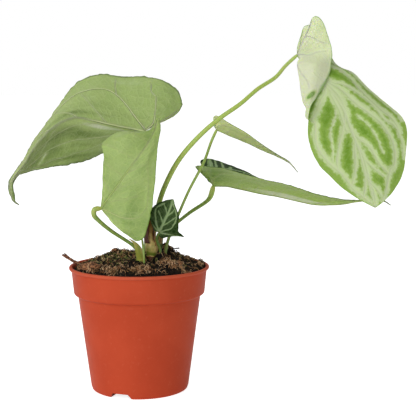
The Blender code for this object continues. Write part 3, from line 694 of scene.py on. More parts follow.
LEAF_GLOW = (0.75, 1.0, 0.35)
TERRACOTTA = PlasticFinish("terracotta_plastic", (195, 77, 48), (188, 72, 44), (212, 112, 84))
PALE_UNDERSIDE = UndersideFinish(
    "underside_pale", (168, 186, 118), (114, 134, 69), (208, 220, 164), (58, 80, 32), rim=2.4)
FRESH_UNDERSIDE = UndersideFinish(
    "underside_fresh", (158, 180, 106), (120, 147, 73), (206, 220, 140), (96, 134, 40))
YOUNG_UNDERSIDE = UndersideFinish(
    "underside_young", (222, 233, 190), (192, 212, 148), (232, 238, 206), (112, 156, 54))
SMALL_UNDERSIDE = UndersideFinish(
    "underside_small", (220, 234, 160), (184, 208, 122), (232, 242, 184), (116, 154, 58))
GREY_UNDERSIDE = UndersideFinish(
    "underside_grey", (152, 178, 84), (106, 138, 50), (196, 210, 146), (62, 88, 36))
SILVER_UPPER = UpperFinish("upper_silver", (150, 180, 82), (108, 150, 32), (198, 214, 160), (212, 224, 184),
                           1.6, 0.07, 0.42, 0.25, 0.12, 0.6)
DARK_UPPER = UpperFinish("upper_dark", (42, 68, 22), (22, 42, 12), (146, 172, 118), (180, 200, 152),
                         0.5, 0.35, 0.55, 0.08)
STALK_GREEN = StalkFinish("stalk_green", (142, 158, 84), (146, 174, 78), (180, 200, 112))
STALK_DARK = StalkFinish("stalk_dark", (76, 100, 40), (104, 132, 54), (116, 142, 66))
# A paler copy of the stalk green for stalk d: painted light that makes up for the shade leaf b casts on it.
STALK_PAINTED_LIT = StalkFinish("stalk_painted_lit", (206, 212, 100), (166, 190, 82), (184, 204, 112))
STALK_OLIVE = StalkFinish("stalk_olive", (144, 156, 76), (116, 148, 58), (188, 202, 106))
PEAT = EarthFinish("peat", ((0, (7, 6, 5)), (0.45, (17, 14, 11)), (0.75, (38, 31, 22)), (1, (80, 60, 42))),
                   (30, 30, 17))
CRUMB = EarthFinish("peat_crumbs", ((0, (11, 8, 6)), (0.4, (36, 26, 17)), (0.7, (86, 63, 41)),
                                    (0.9, (154, 116, 80)), (1, (200, 178, 142))), (52, 48, 28))
FIBRE = EarthFinish("peat_fibres", ((0, (26, 18, 12)), (0.3, (84, 58, 36)), (0.65, (184, 132, 86)),
                                    (1, (250, 212, 168))), (112, 92, 50), 0.75)
MOSS = EarthFinish("moss", ((0, (60, 66, 28)), (0.5, (124, 130, 62)), (1, (190, 190, 118))), (96, 92, 46),
                   0.8)
PAPERY = PaperyFinish("old_leaf_bases", (126, 152, 48), (244, 214, 138), (166, 114, 60), (84, 42, 26))
SHEATH_B = PaperyFinish("stalk_sheath_b", (168, 180, 78), (218, 204, 118), (214, 146, 84), (128, 62, 38))
SHEATH_F = PaperyFinish("stalk_sheath_f", (92, 118, 48), (190, 172, 104), (158, 112, 62), (84, 54, 32))
BARK = BarkFinish("bark", (190, 134, 92), (58, 33, 23), (3, 0.8, 0.8))
TWIG = BarkFinish("twig", (168, 116, 86), (84, 50, 36), (5, 1, 1))
STICK = BarkFinish("small_stick", (84, 62, 48), (40, 28, 22), (5, 1, 1))


@dataclass(frozen=True)
class Vein:
    """A vein on one half of a leaf.

    Attributes:
        path: places it runs through, as a share round the lobe (-1 to 0) or along the midrib (0 to 1), and a
            share from the midrib to the margin.
        width: half the width of its band on the upper side, at its start.
        raised: how much of the usual ridge it has on the underside.
    """

    path: tuple[Share, ...]
    width: float
    raised: float = 1.0

    SPACING = 0.004

    def shares(self) -> Array:
        """Its smooth path, read closely."""
        points = np.array(self.path, float)
        length = np.sum(np.linalg.norm(np.diff(points, axis=0), axis=1))
        return smooth_line(points, max(8, int(length / self.SPACING)))


def usual_veins(width: float, ribs: int = 6, raised: float = 1.0) -> tuple[Vein, ...]:
    """The veins of a plain half: two into the lobe, one that arches to the tip, and ribs that end on it."""
    lobe = [
        Vein(((-0.85, 0.05), (-0.78, 0.35), (-0.68, 0.65), (-0.58, 0.88)), 0.8 * width, raised),
        Vein(((-0.45, 0.05), (-0.42, 0.35), (-0.33, 0.65), (-0.22, 0.88)), 0.9 * width, raised),
    ]
    arch = Vein(((-0.02, 0.03), (0.02, 0.35), (0.1, 0.62), (0.24, 0.78), (0.42, 0.84), (0.62, 0.84),
                 (0.8, 0.78), (0.93, 0.6), (0.99, 0.3)), 1.1 * width, raised)
    side = [Vein(((r, 0.0), (r + 0.05, 0.28), (r + 0.1, 0.55), (r + 0.15, 0.8)), 0.75 * width, 0.7 * raised)
            for r in np.linspace(0.1, 0.8, ribs)]
    return (*lobe, arch, *side)


def fine_veins(seed: int, count: int = 34) -> list[Array]:
    """Paths of the small veins between the ribs, a little uneven: straight out, leaning to the tip."""
    rng = np.random.default_rng(seed)
    starts = np.concatenate([np.linspace(-0.92, -0.08, count // 3), np.linspace(0.02, 0.9, count)])
    starts = starts + rng.uniform(-0.008, 0.008, len(starts))
    across = np.linspace(0.04, 0.86, 60)
    lean = np.where(starts < 0, 0.04, 0.13) + rng.uniform(-0.02, 0.02, len(starts))
    wander = rng.uniform(0.002, 0.005, len(starts)), rng.uniform(0, 6.3, len(starts))
    return [np.stack([np.minimum(s + l * across ** 1.2 + w * np.sin(17 * across + p), 0.99), across], 1)
            for s, l, w, p in zip(starts, lean, *wander)]


@dataclass
class HalfSurface:
    """One half of a blade as a grid over the welded sheet: its rows run round the lobe and on to the tip."""

    number: Array
    reach: Array
    across: Array

    def read(self, layer: Array, shares: Array) -> Array:
        """A layer of the sheet at (share along, share across), evenly blended between four neighbours.

        Args:
            layer: one row of values for each of the sheet's places.
            shares: pairs of shares.

        Returns:
            One row of values for each pair.
        """
        row = np.interp(shares[:, 0], self.reach, np.arange(len(self.reach)))
        column = np.interp(shares[:, 1], self.across, np.arange(len(self.across)))
        i = np.minimum(row.astype(int), len(self.reach) - 2)
        j = np.minimum(column.astype(int), len(self.across) - 2)
        u, v = (row - i)[:, None], (column - j)[:, None]
        grid = layer[self.number]
        return ((1 - u) * (1 - v) * grid[i, j] + u * (1 - v) * grid[i + 1, j]
                + (1 - u) * v * grid[i, j + 1] + u * v * grid[i + 1, j + 1])


@dataclass
class Leaf:
    """A leaf blade: ribs run from its midrib to its margin, and a smooth surface passes through them.

    Attributes:
        letter: the end of its node's name.
        midrib: places from the stalk's joint to the tip.
        first, second: the ribs of each half, from the notch at the stalk round the lobe to the tip. A rib is
            the share of the midrib where it leaves, then x, y and z of any places between and of its end.
        bow: how far the middle of a rib of BOW_SPAN stands out to the underside, for each half.
        band: half the width of the midrib's band on the upper side.
        slot: a slot name that it hands to its piece, which does not use it.
        tone: how much deeper the underside's green is, for each half; on a half that faces down, as on leaf
            A, this is painted shade.
        waves: how many soft streaks there are along the blade and across a half.
        patches: paler or deeper patches of the underside, as (half, share along, share across, reach along,
            reach across, amount). A patch that takes the tone low lays on the painted highlight.
        taper: how much of their width the bands lose towards their ends.
        rows, columns: of the grid, along the blade and from midrib to margin.
        ridge: half the width of the raised midrib at its start.
        ruffle, ragged: how far the margin waves and is notched.
        fold: how many columns on each side of the midrib its fold is rounded over.
        sunk: how dark the midrib's crest is painted, as painted shade that makes it read as a furrow, and the
            share of its length where it sinks into the blade.
    """

    letter: str
    midrib: Path
    first: Rows
    second: Rows
    bow: Share
    under: UndersideFinish
    band: float
    first_veins: tuple[Vein, ...]
    second_veins: tuple[Vein, ...]
    upper: UpperFinish = DARK_UPPER
    slot: str = "leaf_green"
    tone: Share = (0.1, 0.2)
    waves: Share = (6, 9)
    patches: Rows = ()
    taper: float = 0.45
    rows: int = 140
    columns: int = 44
    ridge: float = 1.0
    ruffle: float = 0.35
    fold: int = 0
    ragged: float = 0.35
    sunk: Share = (0.0, 9.0)

    FAR = 99
    NECK = 2.5
    TIP_WIDTH = 0.5
    BOW_SPAN = 50.0
    THICKNESS = 0.55
    ROUNDING = (0.972, 0.985, 0.994, 1.0)
    SMALL_WIDTH = 0.05
    QUILT_DEPTH = 0.35
    QUILT_SPREAD = 2.4

    def rib_steps(self, rib: Row, bow: float, across: Array) -> Array:
        """One rib as steps from its root: a smooth curve through its places, or one bowed at its middle."""
        share, *outer = rib
        root = along(self.midrib, [share])[0]
        outer = [*np.reshape(np.array(outer, float), (-1, 3))]
        if len(outer) == 1:
            reach = outer[0] - root
            back, fore = along(self.midrib, [max(share - 0.02, 0), min(share + 0.05, 1)])
            ahead = fore - back
            facing = unit(np.cross(reach, ahead)) * bow * np.linalg.norm(reach) / self.BOW_SPAN
            outer.insert(0, (root + outer[0]) / 2 + facing)
        chain = np.array([root, *outer])
        t = knots(chain)
        return smooth_through(chain, t, t[-1] * across) - root

    def half_places(self, ribs: Rows, bow: float, lobe_rows: int, across: Array) -> tuple[Array, Array]:
        """The grid of one half: the ribs are joined by smooth curves through their like shares.

        Args:
            ribs: the half's ribs.
            bow: the bow of its ribs.
            lobe_rows: rows round the lobe.
            across: shares from the midrib to the margin.

        Returns:
            The grid's places, and each row's share: -1 to 0 round the lobe, 0 to 1 along the midrib.
        """
        steps = np.array([self.rib_steps(rib, bow, across) for rib in ribs])
        neck = steps[:1] / np.linalg.norm(steps[0, -1]) * self.NECK
        tip = steps[-1:] / np.linalg.norm(steps[-1, -1]) * self.TIP_WIDTH
        steps = np.concatenate([neck, steps, tip])
        shares = np.array([0.0] + [rib[0] for rib in ribs] + [1.0])
        t = knots(steps[:, -1] + along(self.midrib, shares))
        last = np.nonzero(shares <= 0)[0][-1]
        blade = np.linspace(0, 1, self.rows)
        rows = np.concatenate([np.linspace(0, t[last], lobe_rows, endpoint=False),
                               np.interp(blade, shares[last:], t[last:])])
        roots = along(self.midrib, np.concatenate([np.zeros(lobe_rows), blade]))
        reach = np.concatenate([np.linspace(-1, 0, lobe_rows, endpoint=False), blade])
        return roots[:, None] + smooth_through(steps, t, rows), reach

    def sheet(self) -> None:
        """Lays out the middle surface: both halves as grids, welded along the midrib."""
        lobe_rows = self.rows // 4
        inner = np.linspace(0, 0.95, self.columns - len(self.ROUNDING))
        across = np.concatenate([inner, self.ROUNDING])
        shares, none = np.linspace(0, 1, self.rows), np.zeros(self.rows)
        layers = [[along(self.midrib, shares), none, shares, none + self.FAR, none]]
        count = self.rows
        self.halves = []
        triangles = []
        for side, ribs, bow in zip(Side, (self.first, self.second), self.bow):
            grid, reach = self.half_places(ribs, bow * side.value, lobe_rows, across)
            rows, columns = grid.shape[:2]
            number = np.empty((rows, columns), int)
            number[:, 0] = np.maximum(np.arange(rows) - lobe_rows, 0)
            number[:, 1:] = count + np.arange(rows * (columns - 1)).reshape(rows, -1)
            count += rows * (columns - 1)
            length = np.linalg.norm(grid[:, -1] - grid[:, 0], axis=1)
            spread = np.tile(across[1:], rows)
            layers.append([grid[:, 1:].reshape(-1, 3), spread, np.repeat(reach, columns - 1),
                           np.outer(length, 1 - across[1:]).ravel(), 0 * spread + side.value])
            self.halves.append(HalfSurface(number, reach, across))
            faces = number.ravel()[grid_faces(rows, columns)]
            triangles.append(faces if side is Side.FIRST else faces[:, ::-1])
        self.places, self.across, self.reach, self.edge, self.half_of = map(np.concatenate, zip(*layers))
        self.round_fold(lobe_rows)
        faces = np.concatenate(triangles)
        whole = (faces[:, 0] != faces[:, 1]) & (faces[:, 1] != faces[:, 2]) & (faces[:, 2] != faces[:, 0])
        self.faces = faces[whole]

    def round_fold(self, lobe_rows: int) -> None:
        """Rounds the fold at the midrib: each section across both halves is averaged in a sliding window."""
        if not self.fold:
            return
        first, second = [half.number[lobe_rows:] for half in self.halves]
        number = np.concatenate([second[:, :0:-1], first], axis=1)
        section = self.places[number]
        window = np.hanning(2 * self.fold + 3)[1:-1]
        window /= window.sum()
        padded = np.pad(section, ((0, 0), (self.fold, self.fold), (0, 0)), "edge")
        mean = sum(w * padded[:, k:k + section.shape[1]] for k, w in enumerate(window))
        away = np.abs(np.arange(number.shape[1]) - (second.shape[1] - 1)) / (1.6 * self.fold)
        ends = np.minimum(1, np.minimum(np.arange(len(number)), np.arange(len(number))[::-1]) / 8)
        share = np.exp(-away ** 2)[None, :, None] * ends[:, None, None]
        self.places[number] = section + share * (mean - section)

    def normals(self) -> Array:
        """Each place's direction to the underside: the sum of its triangles' normals."""
        corner = self.places[self.faces]
        facing = np.cross(corner[:, 1] - corner[:, 0], corner[:, 2] - corner[:, 0])
        total = np.zeros_like(self.places)
        for k in range(3):
            np.add.at(total, self.faces[:, k], facing)
        return unit(total)

    def gap_to(self, lines: list[tuple[Array, Array]]) -> Array:
        """Distance from each place to the nearest line, less the line's half width there."""
        points = np.concatenate([line for line, _ in lines]).astype(np.float32)
        width = np.concatenate([w for _, w in lines]).astype(np.float32)
        places = self.places.astype(np.float32)
        least = np.empty(len(places))
        for start in range(0, len(places), 2000):
            part = places[start:start + 2000]
            square = (part ** 2).sum(1)[:, None] + (points ** 2).sum(1) - 2 * part @ points.T
            least[start:start + 2000] = (np.sqrt(np.maximum(square, 0)) - width).min(1)
        return least

    def vein_lines(self) -> list[tuple[Vein, Array, HalfSurface]]:
        """Each main vein with its shares and its half."""
        pairs = zip(self.halves, (self.first_veins, self.second_veins))
        return [(vein, vein.shares(), half) for half, veins in pairs for vein in veins]

    def measure(self) -> dict[str, Array]:
        """How far each place is from the bands, the lines in them, the small veins and the margin."""
        shares = np.linspace(0, 1, 500)
        line = along(self.midrib, shares)
        bands = [(line, self.band * (1 - 0.4 * shares))]
        cores = [(line, 0.25 * self.band * (1 - 0.6 * shares))]
        for vein, path, half in self.vein_lines():
            places = half.read(self.places, path)
            taper = 1 - self.taper * np.linspace(0, 1, len(path))
            bands.append((places, vein.width * taper))
            cores.append((places, 0.2 * vein.width * taper))
        small = []
        for seed, half in enumerate(self.halves):
            for path in fine_veins(seed + 11):
                small.append((half.read(self.places, path), np.full(len(path), self.SMALL_WIDTH)))
        tone = np.where(self.half_of < 0, self.tone[1], self.tone[0])
        for half, q, v, reach_q, reach_v, amount in self.patches:
            away = ((self.reach - q) / reach_q) ** 2 + ((self.across - v) / reach_v) ** 2
            tone = tone + np.where(self.half_of == half, amount * np.exp(-away), 0)
        return {"band": self.gap_to(bands), "line": self.gap_to(cores), "side": self.gap_to(small),
                "edge": self.edge, "streak": self.streaks(),
                "tone": tone, "ridge": 0 * tone, "painted_vein_shade": 0 * tone}

    def streaks(self) -> Array:
        """Noise with as many waves along the blade and across it as waves says, from about -1 to 1."""
        lean = self.reach - 0.13 * self.across ** 1.2
        plan = np.stack([self.waves[0] * lean, self.waves[1] * self.across, 9 + 5 * self.half_of], -1)
        return Grain(ord(self.letter) + 3).at(plan, 1.0, 2)

    def ridge_along(self, places: Array, normal: Array, width: Array, height: Array,
                    pale: Array | float = 1.0, crest_shade: float = 0.0) -> Shell:
        """A raised vein: a bell-shaped bar laid on the underside, closed below, with painted shade on one
        flank.

        Across it, the height follows (1 + cos(pi x)) / 2 for x from -1 to 1 half width.

        Args:
            places, normal: its line, and the way it stands out.
            width, height: half its width, and its height, along the line.
            pale: how much paler than the blade it is.
            crest_shade: how dark its crest is painted, as painted shade that makes it read as a furrow.

        Returns:
            The bar.
        """
        ahead = unit(np.gradient(places, axis=0))
        side = unit(np.cross(ahead, normal))
        x = np.array([-1, -0.7, -0.42, -0.2, 0, 0.2, 0.42, 0.7, 1, 0])
        z = (1 + np.cos(pi * x)) / 2
        z[-1] = 0
        drop = np.full(len(x), -0.04)
        drop[-1] = -0.22
        rings = (places[:, None] + side[:, None] * (x[:, None] * width[:, None, None])
                 + normal[:, None] * (z[:, None] * height[:, None, None] + drop[:, None]))
        count = len(rings)
        shell = Shell(rings.reshape(-1, 3), capped_faces(count, len(x))[:, ::-1])
        pale = np.broadcast_to(pale, count)[:, None]
        crest = np.clip(1.5 * z, 0, 1) * pale
        # painted shade: the flank at x below -0.5 is darkened fully, and the crest by its crest shade amount
        painted_vein_shade = np.where(x < -0.5, 1.0, np.where(np.abs(x) < 0.45, crest_shade, 0.0)) * pale
        shell.mark("painted_vein_shade", painted_vein_shade.ravel())
        for name, value in (("band", 0), ("line", 0), ("side", 9), ("edge", 9), ("tone", 0), ("streak", 0)):
            shell.mark(name, value)
        return shell.mark("ridge", crest.ravel())

    def ridges(self, normals: Array) -> list[Shell]:
        """The raised midrib and veins of the underside, thinner and lower towards their ends."""
        shares = np.linspace(0, 0.97, 160)
        rows = np.linspace(0, 0.97 * (self.rows - 1), 160)
        i = np.minimum(rows.astype(int), self.rows - 2)
        part = (rows - i)[:, None]
        normal = unit((1 - part) * normals[i] + part * normals[i + 1])
        middle = (1 - part) * self.places[i] + part * self.places[i + 1]
        crest_shade, end = self.sunk
        pale = np.clip((end - shares) / 0.12, 0.1, 1)
        height = 0.75 * self.ridge * (1.15 - 0.95 * shares) * pale
        width = self.ridge * (1.3 - 0.9 * shares)
        made = [self.ridge_along(middle + normal * self.THICKNESS / 2, normal, width, height, pale, crest_shade)]
        for vein, path, half in self.vein_lines():
            path = path[::3]
            places, normal = half.read(self.places, path), unit(half.read(normals, path))
            share = np.linspace(0, 1, len(path))
            ease = np.sin(pi * np.clip(0.5 * share / 0.06, 0, 0.5)) * (1 - share ** 2)
            height = self.ridge * vein.raised * 0.75 * ease + 0.01
            width = self.ridge * (0.3 + 0.7 * vein.raised) * (1.0 - 0.5 * share)
            pale = min(1.0, 0.3 + vein.raised)
            made.append(self.ridge_along(places + normal * self.THICKNESS / 2, normal, width, height, pale))
        return made

    def build(self) -> None:
        """Makes the blade: quilted between its raised veins, wavy at its margin, round at its edge."""
        self.sheet()
        marks = self.measure()
        normals = self.normals()
        quilt = self.QUILT_DEPTH * np.exp(-(np.maximum(marks["line"], 0) / self.QUILT_SPREAD) ** 2)
        grain = Grain(ord(self.letter))
        wave = self.ruffle * self.across ** 3 * grain.at(self.places, 16, 2)
        crinkle = 0.16 * grain.at(self.places, 7, 2)
        lift = (quilt * self.across.clip(0, 0.2) / 0.2 + wave + crinkle) * np.clip(self.edge / 2, 0.3, 1)
        jag = self.ragged * np.clip(1 - self.edge / 6, 0, 1) ** 2 * np.minimum(self.across * 4, 1)
        shift = np.stack([grain.at(self.places + 40 * k, 3.2, 2) for k in range(3)], -1)
        self.places = self.places + normals * lift[:, None] + jag[:, None] * shift
        normals = self.normals()
        over = np.clip((self.across - self.ROUNDING[0]) / (1 - self.ROUNDING[0]), 0, 1)
        half = self.THICKNESS / 2 * np.sqrt(np.clip(1 - over ** 2, 0.06, 1))
        count = len(self.places)
        places = np.concatenate([self.places + way * normals * half[:, None] for way in (1, -1)])
        faces = layered_faces(self.faces, *self.rim(), count)
        finish = np.minimum(np.arange(len(faces)) // len(self.faces), 1)
        blade = Shell(places, faces, finish, {name: np.tile(value, 2) for name, value in marks.items()})
        shell = Shell.join([blade, *self.ridges(normals)])
        finishes = [self.under.material(), self.upper.material()]
        shell.piece(f"blade_{self.letter}", finishes, self.slot, f"leaf_{self.letter}")

    def rim(self) -> tuple[Array, Array]:
        """The open edges of the sheet, as their first and second places."""
        edges = np.concatenate([self.faces[:, [0, 1]], self.faces[:, [1, 2]], self.faces[:, [2, 0]]])
        key = edges[:, 0] * len(self.places) + edges[:, 1]
        back = edges[:, 1] * len(self.places) + edges[:, 0]
        return tuple(edges[~np.isin(key, back)].T)


LEAF_A = Leaf(
    letter="a",
    midrib=(
        (4, 12, 221.5), (-11, 9, 224), (-26, 5, 227.5), (-41, 1, 231.5), (-53.5, -2, 233.5), (-66, -4, 229.5),
        (-77.5, -5, 220.5), (-88, -5, 208), (-96.5, -5, 194.5), (-104.5, -5, 184), (-108, -5, 178),
        (-108.3, -5, 170), (-106.3, -5, 163.5), (-101.8, -5, 159.5),
    ),
    first=(
        (0, 17.5, 22, 228.5), (0, 31, 32, 235), (0, 36.5, 37, 244), (0, 32, 40, 256), (0, 18.5, 41, 265.5),
        (0.03, 2.5, 41, 268.5), (0.12, -16.5, 39, 268), (0.22, -35.5, 37, 270.5), (0.32, -53, 33, 264.5),
        (0.42, -67, 28, 249), (0.52, -79.5, 21, 230), (0.62, -90.5, 13, 214), (0.72, -98, 5, 199),
        (0.8, -106.5, -1, 186), (0.86, -110, -4, 178.5), (0.93, -109, -4, 167.5),
    ),
    second=(
        (0, 8.5, 23, 218.5), (0, 12.5, 34, 211), (0, 8.5, 42, 202.5), (0, -2.5, 45, 199),
        (0.03, -17.5, 44, 200.5), (0.12, -32.5, 41, 201), (0.22, -42.5, 37, 196.5), (0.32, -52.5, 32, 193),
        (0.42, -63.5, 27, 191), (0.52, -76.5, 21, 190), (0.62, -86, 14, 188), (0.72, -94.5, 7, 186.5),
        (0.8, -102.5, 0, 184), (0.86, -105.5, -4, 178), (0.93, -105.3, -4, 167),
    ),
    bow=(2, -2), under=PALE_UNDERSIDE, band=1.5,
    first_veins=(
        Vein(((0, 0.03), (0.055, 0.22), (0.1, 0.41), (0.15, 0.58), (0.19, 0.64), (0.26, 0.66), (0.34, 0.645),
              (0.5, 0.63), (0.7, 0.62), (0.9, 0.5)), 1.3),
        Vein(((0.15, 0.58), (0.155, 0.78), (0.15, 0.93)), 0.7, 0.6),
        Vein(((-0.42, 0.05), (-0.4, 0.17), (-0.14, 0.36), (0, 0.64), (0.015, 0.86)), 1.2, 0.9),
        Vein(((-0.75, 0.05), (-0.62, 0.35), (-0.52, 0.65), (-0.46, 0.88)), 0.9, 0.6),
        Vein(((0.2, 0), (0.27, 0.25), (0.31, 0.48), (0.33, 0.64)), 0.8, 0.4),
        Vein(((0.36, 0), (0.42, 0.25), (0.47, 0.5), (0.5, 0.63)), 0.8, 0.4),
        Vein(((0.52, 0), (0.58, 0.25), (0.63, 0.5), (0.66, 0.62)), 0.8, 0.4),
        Vein(((0.68, 0), (0.74, 0.3), (0.8, 0.55)), 0.7, 0.4),
    ),
    second_veins=(
        Vein(((0, 0.03), (0.08, 0.25), (0.2, 0.4), (0.36, 0.5), (0.56, 0.54), (0.72, 0.6), (0.86, 0.5)),
             1.2, 0.5),
        Vein(((0.02, 0.05), (0.12, 0.5), (0.3, 0.74), (0.5, 0.82), (0.7, 0.84), (0.88, 0.7)), 1, 0.35),
        Vein(((-0.5, 0.05), (-0.4, 0.4), (-0.25, 0.75)), 0.9, 0.3),
        Vein(((0.22, 0.02), (0.38, 0.18), (0.58, 0.27), (0.8, 0.28)), 0.8, 0.3),
        Vein(((0.45, 0), (0.55, 0.3), (0.62, 0.56)), 0.7, 0.2),
    ),
    # The second half's deeper tone is painted shade: that half faces down.
    tone=(0, 0.45), waves=(4, 13),
    # The strongly negative patches are painted highlights: glare along the fold beside the midrib and a
    # streak near the tip.
    patches=(
        (-1, 0.25, 0.13, 0.1, 0.09, -1.6), (-1, 0.13, 0.1, 0.08, 0.08, -0.9),
        (-1, 0.38, 0.08, 0.1, 0.06, -0.5), (-1, 0.56, 0.6, 0.01, 0.05, -1.7),
        (-1, 0.576, 0.65, 0.01, 0.05, -1.7), (-1, 0.592, 0.7, 0.01, 0.05, -1.5),
        (-1, 0.609, 0.75, 0.01, 0.05, -1.3), (-1, 0.626, 0.8, 0.011, 0.05, -1.2),
        (-1, 0.675, 0.96, 0.05, 0.05, -2), (-1, 0.46, 0.3, 0.08, 0.15, 0.3),
        (-1, 0.33, 0.34, 0.05, 0.1, 0.25), (1, 0.4, 0.2, 0.16, 0.28, 0.5), (1, 0.1, 0.72, 0.12, 0.3, -0.35),
        (-1, 0.13, 0.6, 0.1, 0.25, -0.35), (-1, 0.42, 0.55, 0.03, 0.25, -0.3), (1, 0.4, 0.3, 0.12, 0.1, -0.5),
        (1, 0.55, 0.4, 0.1, 0.08, -0.4), (1, 0.3, 0.5, 0.12, 0.08, -0.35), (1, -0.3, 0.7, 0.2, 0.2, 0.3),
    ),
    fold=6, ragged=0.6, sunk=(0, 0.34),
)

LEAF_B = Leaf(
    letter="b",
    midrib=(
        (-29.5, -30, 159.5), (-18, -36, 175), (-6.5, -38, 191), (4.5, -36, 205.5), (11.5, -31, 216),
        (15.5, -24, 224.5), (16.5, -16, 231.5), (15.5, -9, 229), (12.5, -6, 219.5), (9, -5, 204.5),
        (7.5, -5, 191), (6.5, -5, 179),
    ),
    first=(
        (0, -19.5, -33, 150.5), (0, -8.5, -36, 141), (0, -0.3, -38, 133.3), (0, 5.7, -39, 135.5),
        (0, 9.4, -40, 144.5), (0, 12, -40, 156.5), (0.08, 14, -40, 168), (0.18, 15.5, -39, 180.5),
        (0.28, 16.5, -37, 193.5), (0.38, 17.5, -34, 206), (0.47, 19, -29, 218), (0.55, 20, -22, 227.5),
        (0.61, 18.5, -14, 232.5), (0.68, 17, -6, 230), (0.77, 15.5, -3, 218), (0.88, 11, -4, 201),
    ),
    second=(
        (0, -24.5, -22, 155.5), (0, -18.5, -15, 148.5), (0, -11, -11, 146.5), (0, -3.5, -9, 152),
        (0, -28, -26, 164.5, 1.5, -8, 161.5), (0.07, -28.5, -28, 172, 4, -8, 172.5),
        (0.16, -27.5, -30, 184.5, 6, -9, 184.5), (0.27, -27, -30, 197, 6, -10, 195.5),
        (0.38, -13, -36, 206.5, -27.5, -28, 207.5, 3.5, -12, 202.5),
        (0.47, -9, -33, 219, -26.5, -26, 214, -4.5, -12, 206.5),
        (0.54, 5, -29, 222, -15.5, -24, 221.5, -11.5, -11, 210.5),
        (0.6, 9.5, -22, 222.5, -4, -18, 221.5, -8, -9, 210), (0.68, 9.5, -12, 220, -3.5, -7, 207),
        (0.77, 0.5, -5, 202), (0.88, 4, -5, 191),
    ),
    bow=(5, 0), under=FRESH_UNDERSIDE, band=1.4,
    first_veins=(
        Vein(((-0.4, 0.02), (-0.12, 0.1), (-0.13, 0.3), (-0.13, 0.48), (-0.1, 0.71), (-0.05, 0.82)), 1, 0.6),
        Vein(((-0.05, 0.82), (0.05, 0.9), (0.2, 0.8), (0.36, 0.56), (0.45, 0.5)), 0.9, 0.15),
        Vein(((-0.7, 0.05), (-0.62, 0.4), (-0.52, 0.75)), 0.8, 0.5),
        Vein(((0.04, 0), (0.08, 0.35), (0.11, 0.7)), 0.7, 0.1),
        Vein(((0.14, 0), (0.18, 0.35), (0.21, 0.68)), 0.7, 0.1),
        Vein(((0.24, 0), (0.28, 0.3), (0.31, 0.58)), 0.7, 0.1),
    ),
    second_veins=usual_veins(1, 7, 0.12), tone=(0.26, 0.16), waves=(14, 5),
    patches=(
        (1, 0.25, 0.85, 0.22, 0.16, -0.5), (1, 0.05, 0.97, 0.15, 0.08, -0.4), (-1, 0.5, 0.5, 0.06, 0.4, -0.5),
        (-1, 0.38, 0.35, 0.05, 0.3, -0.4), (-1, -0.4, 0.5, 0.3, 0.4, 0.25), (1, -0.15, 0.6, 0.12, 0.4, 0.3),
    ),
    ridge=0.8, sunk=(0.5, 0.36),
)

LEAF_C = Leaf(
    letter="c",
    midrib=((18, -16, 138), (22, -20, 146.5), (25.5, -21, 154), (28.5, -20, 161), (29.5, -17, 165.5)),
    first=(
        (0, 15, -15, 137.8), (0, 11.7, -15, 143.5), (0, 9.5, -16, 149.5), (0.2, 10.5, -17, 154.5),
        (0.4, 12.5, -18, 159), (0.6, 16.5, -18, 162), (0.8, 22.5, -18, 164.5),
    ),
    second=(
        (0, 17.4, -14.5, 135.2), (0, 20, -13.5, 132), (0, 24.5, -12.5, 132.8), (0, 31.5, -11, 133.4),
        (0, 38.8, -9, 133), (0, 34, -12, 137.6), (0.1, 34, -14, 144.5), (0.35, 34.5, -16, 151),
        (0.6, 33, -17, 157), (0.8, 31, -17, 162),
    ),
    bow=(-1, -1), under=GREY_UNDERSIDE, slot="leaf_dark", band=0.9,
    first_veins=(
        Vein(((0, 0.03), (0.09, 0.34), (0.28, 0.61), (0.51, 0.8), (0.75, 0.7)), 0.55),
        Vein(((0.28, 0), (0.38, 0.3), (0.46, 0.6)), 0.25),
        Vein(((0.55, 0), (0.64, 0.25), (0.72, 0.65)), 0.25),
        Vein(((-0.5, 0.1), (-0.42, 0.5), (-0.3, 0.8)), 0.25),
    ),
    second_veins=(
        Vein(((0, 0.03), (0.035, 0.31), (0.09, 0.71), (0.33, 0.83), (0.6, 0.8), (0.8, 0.6)), 0.55),
        Vein(((-0.6, 0.1), (-0.4, 0.5), (-0.28, 0.85)), 0.3),
        Vein(((0.2, 0), (0.28, 0.4), (0.36, 0.78)), 0.25),
        Vein(((0.5, 0), (0.56, 0.4), (0.64, 0.75)), 0.25),
    ),
    rows=80, columns=36, ridge=0.4, ruffle=0.15,
)

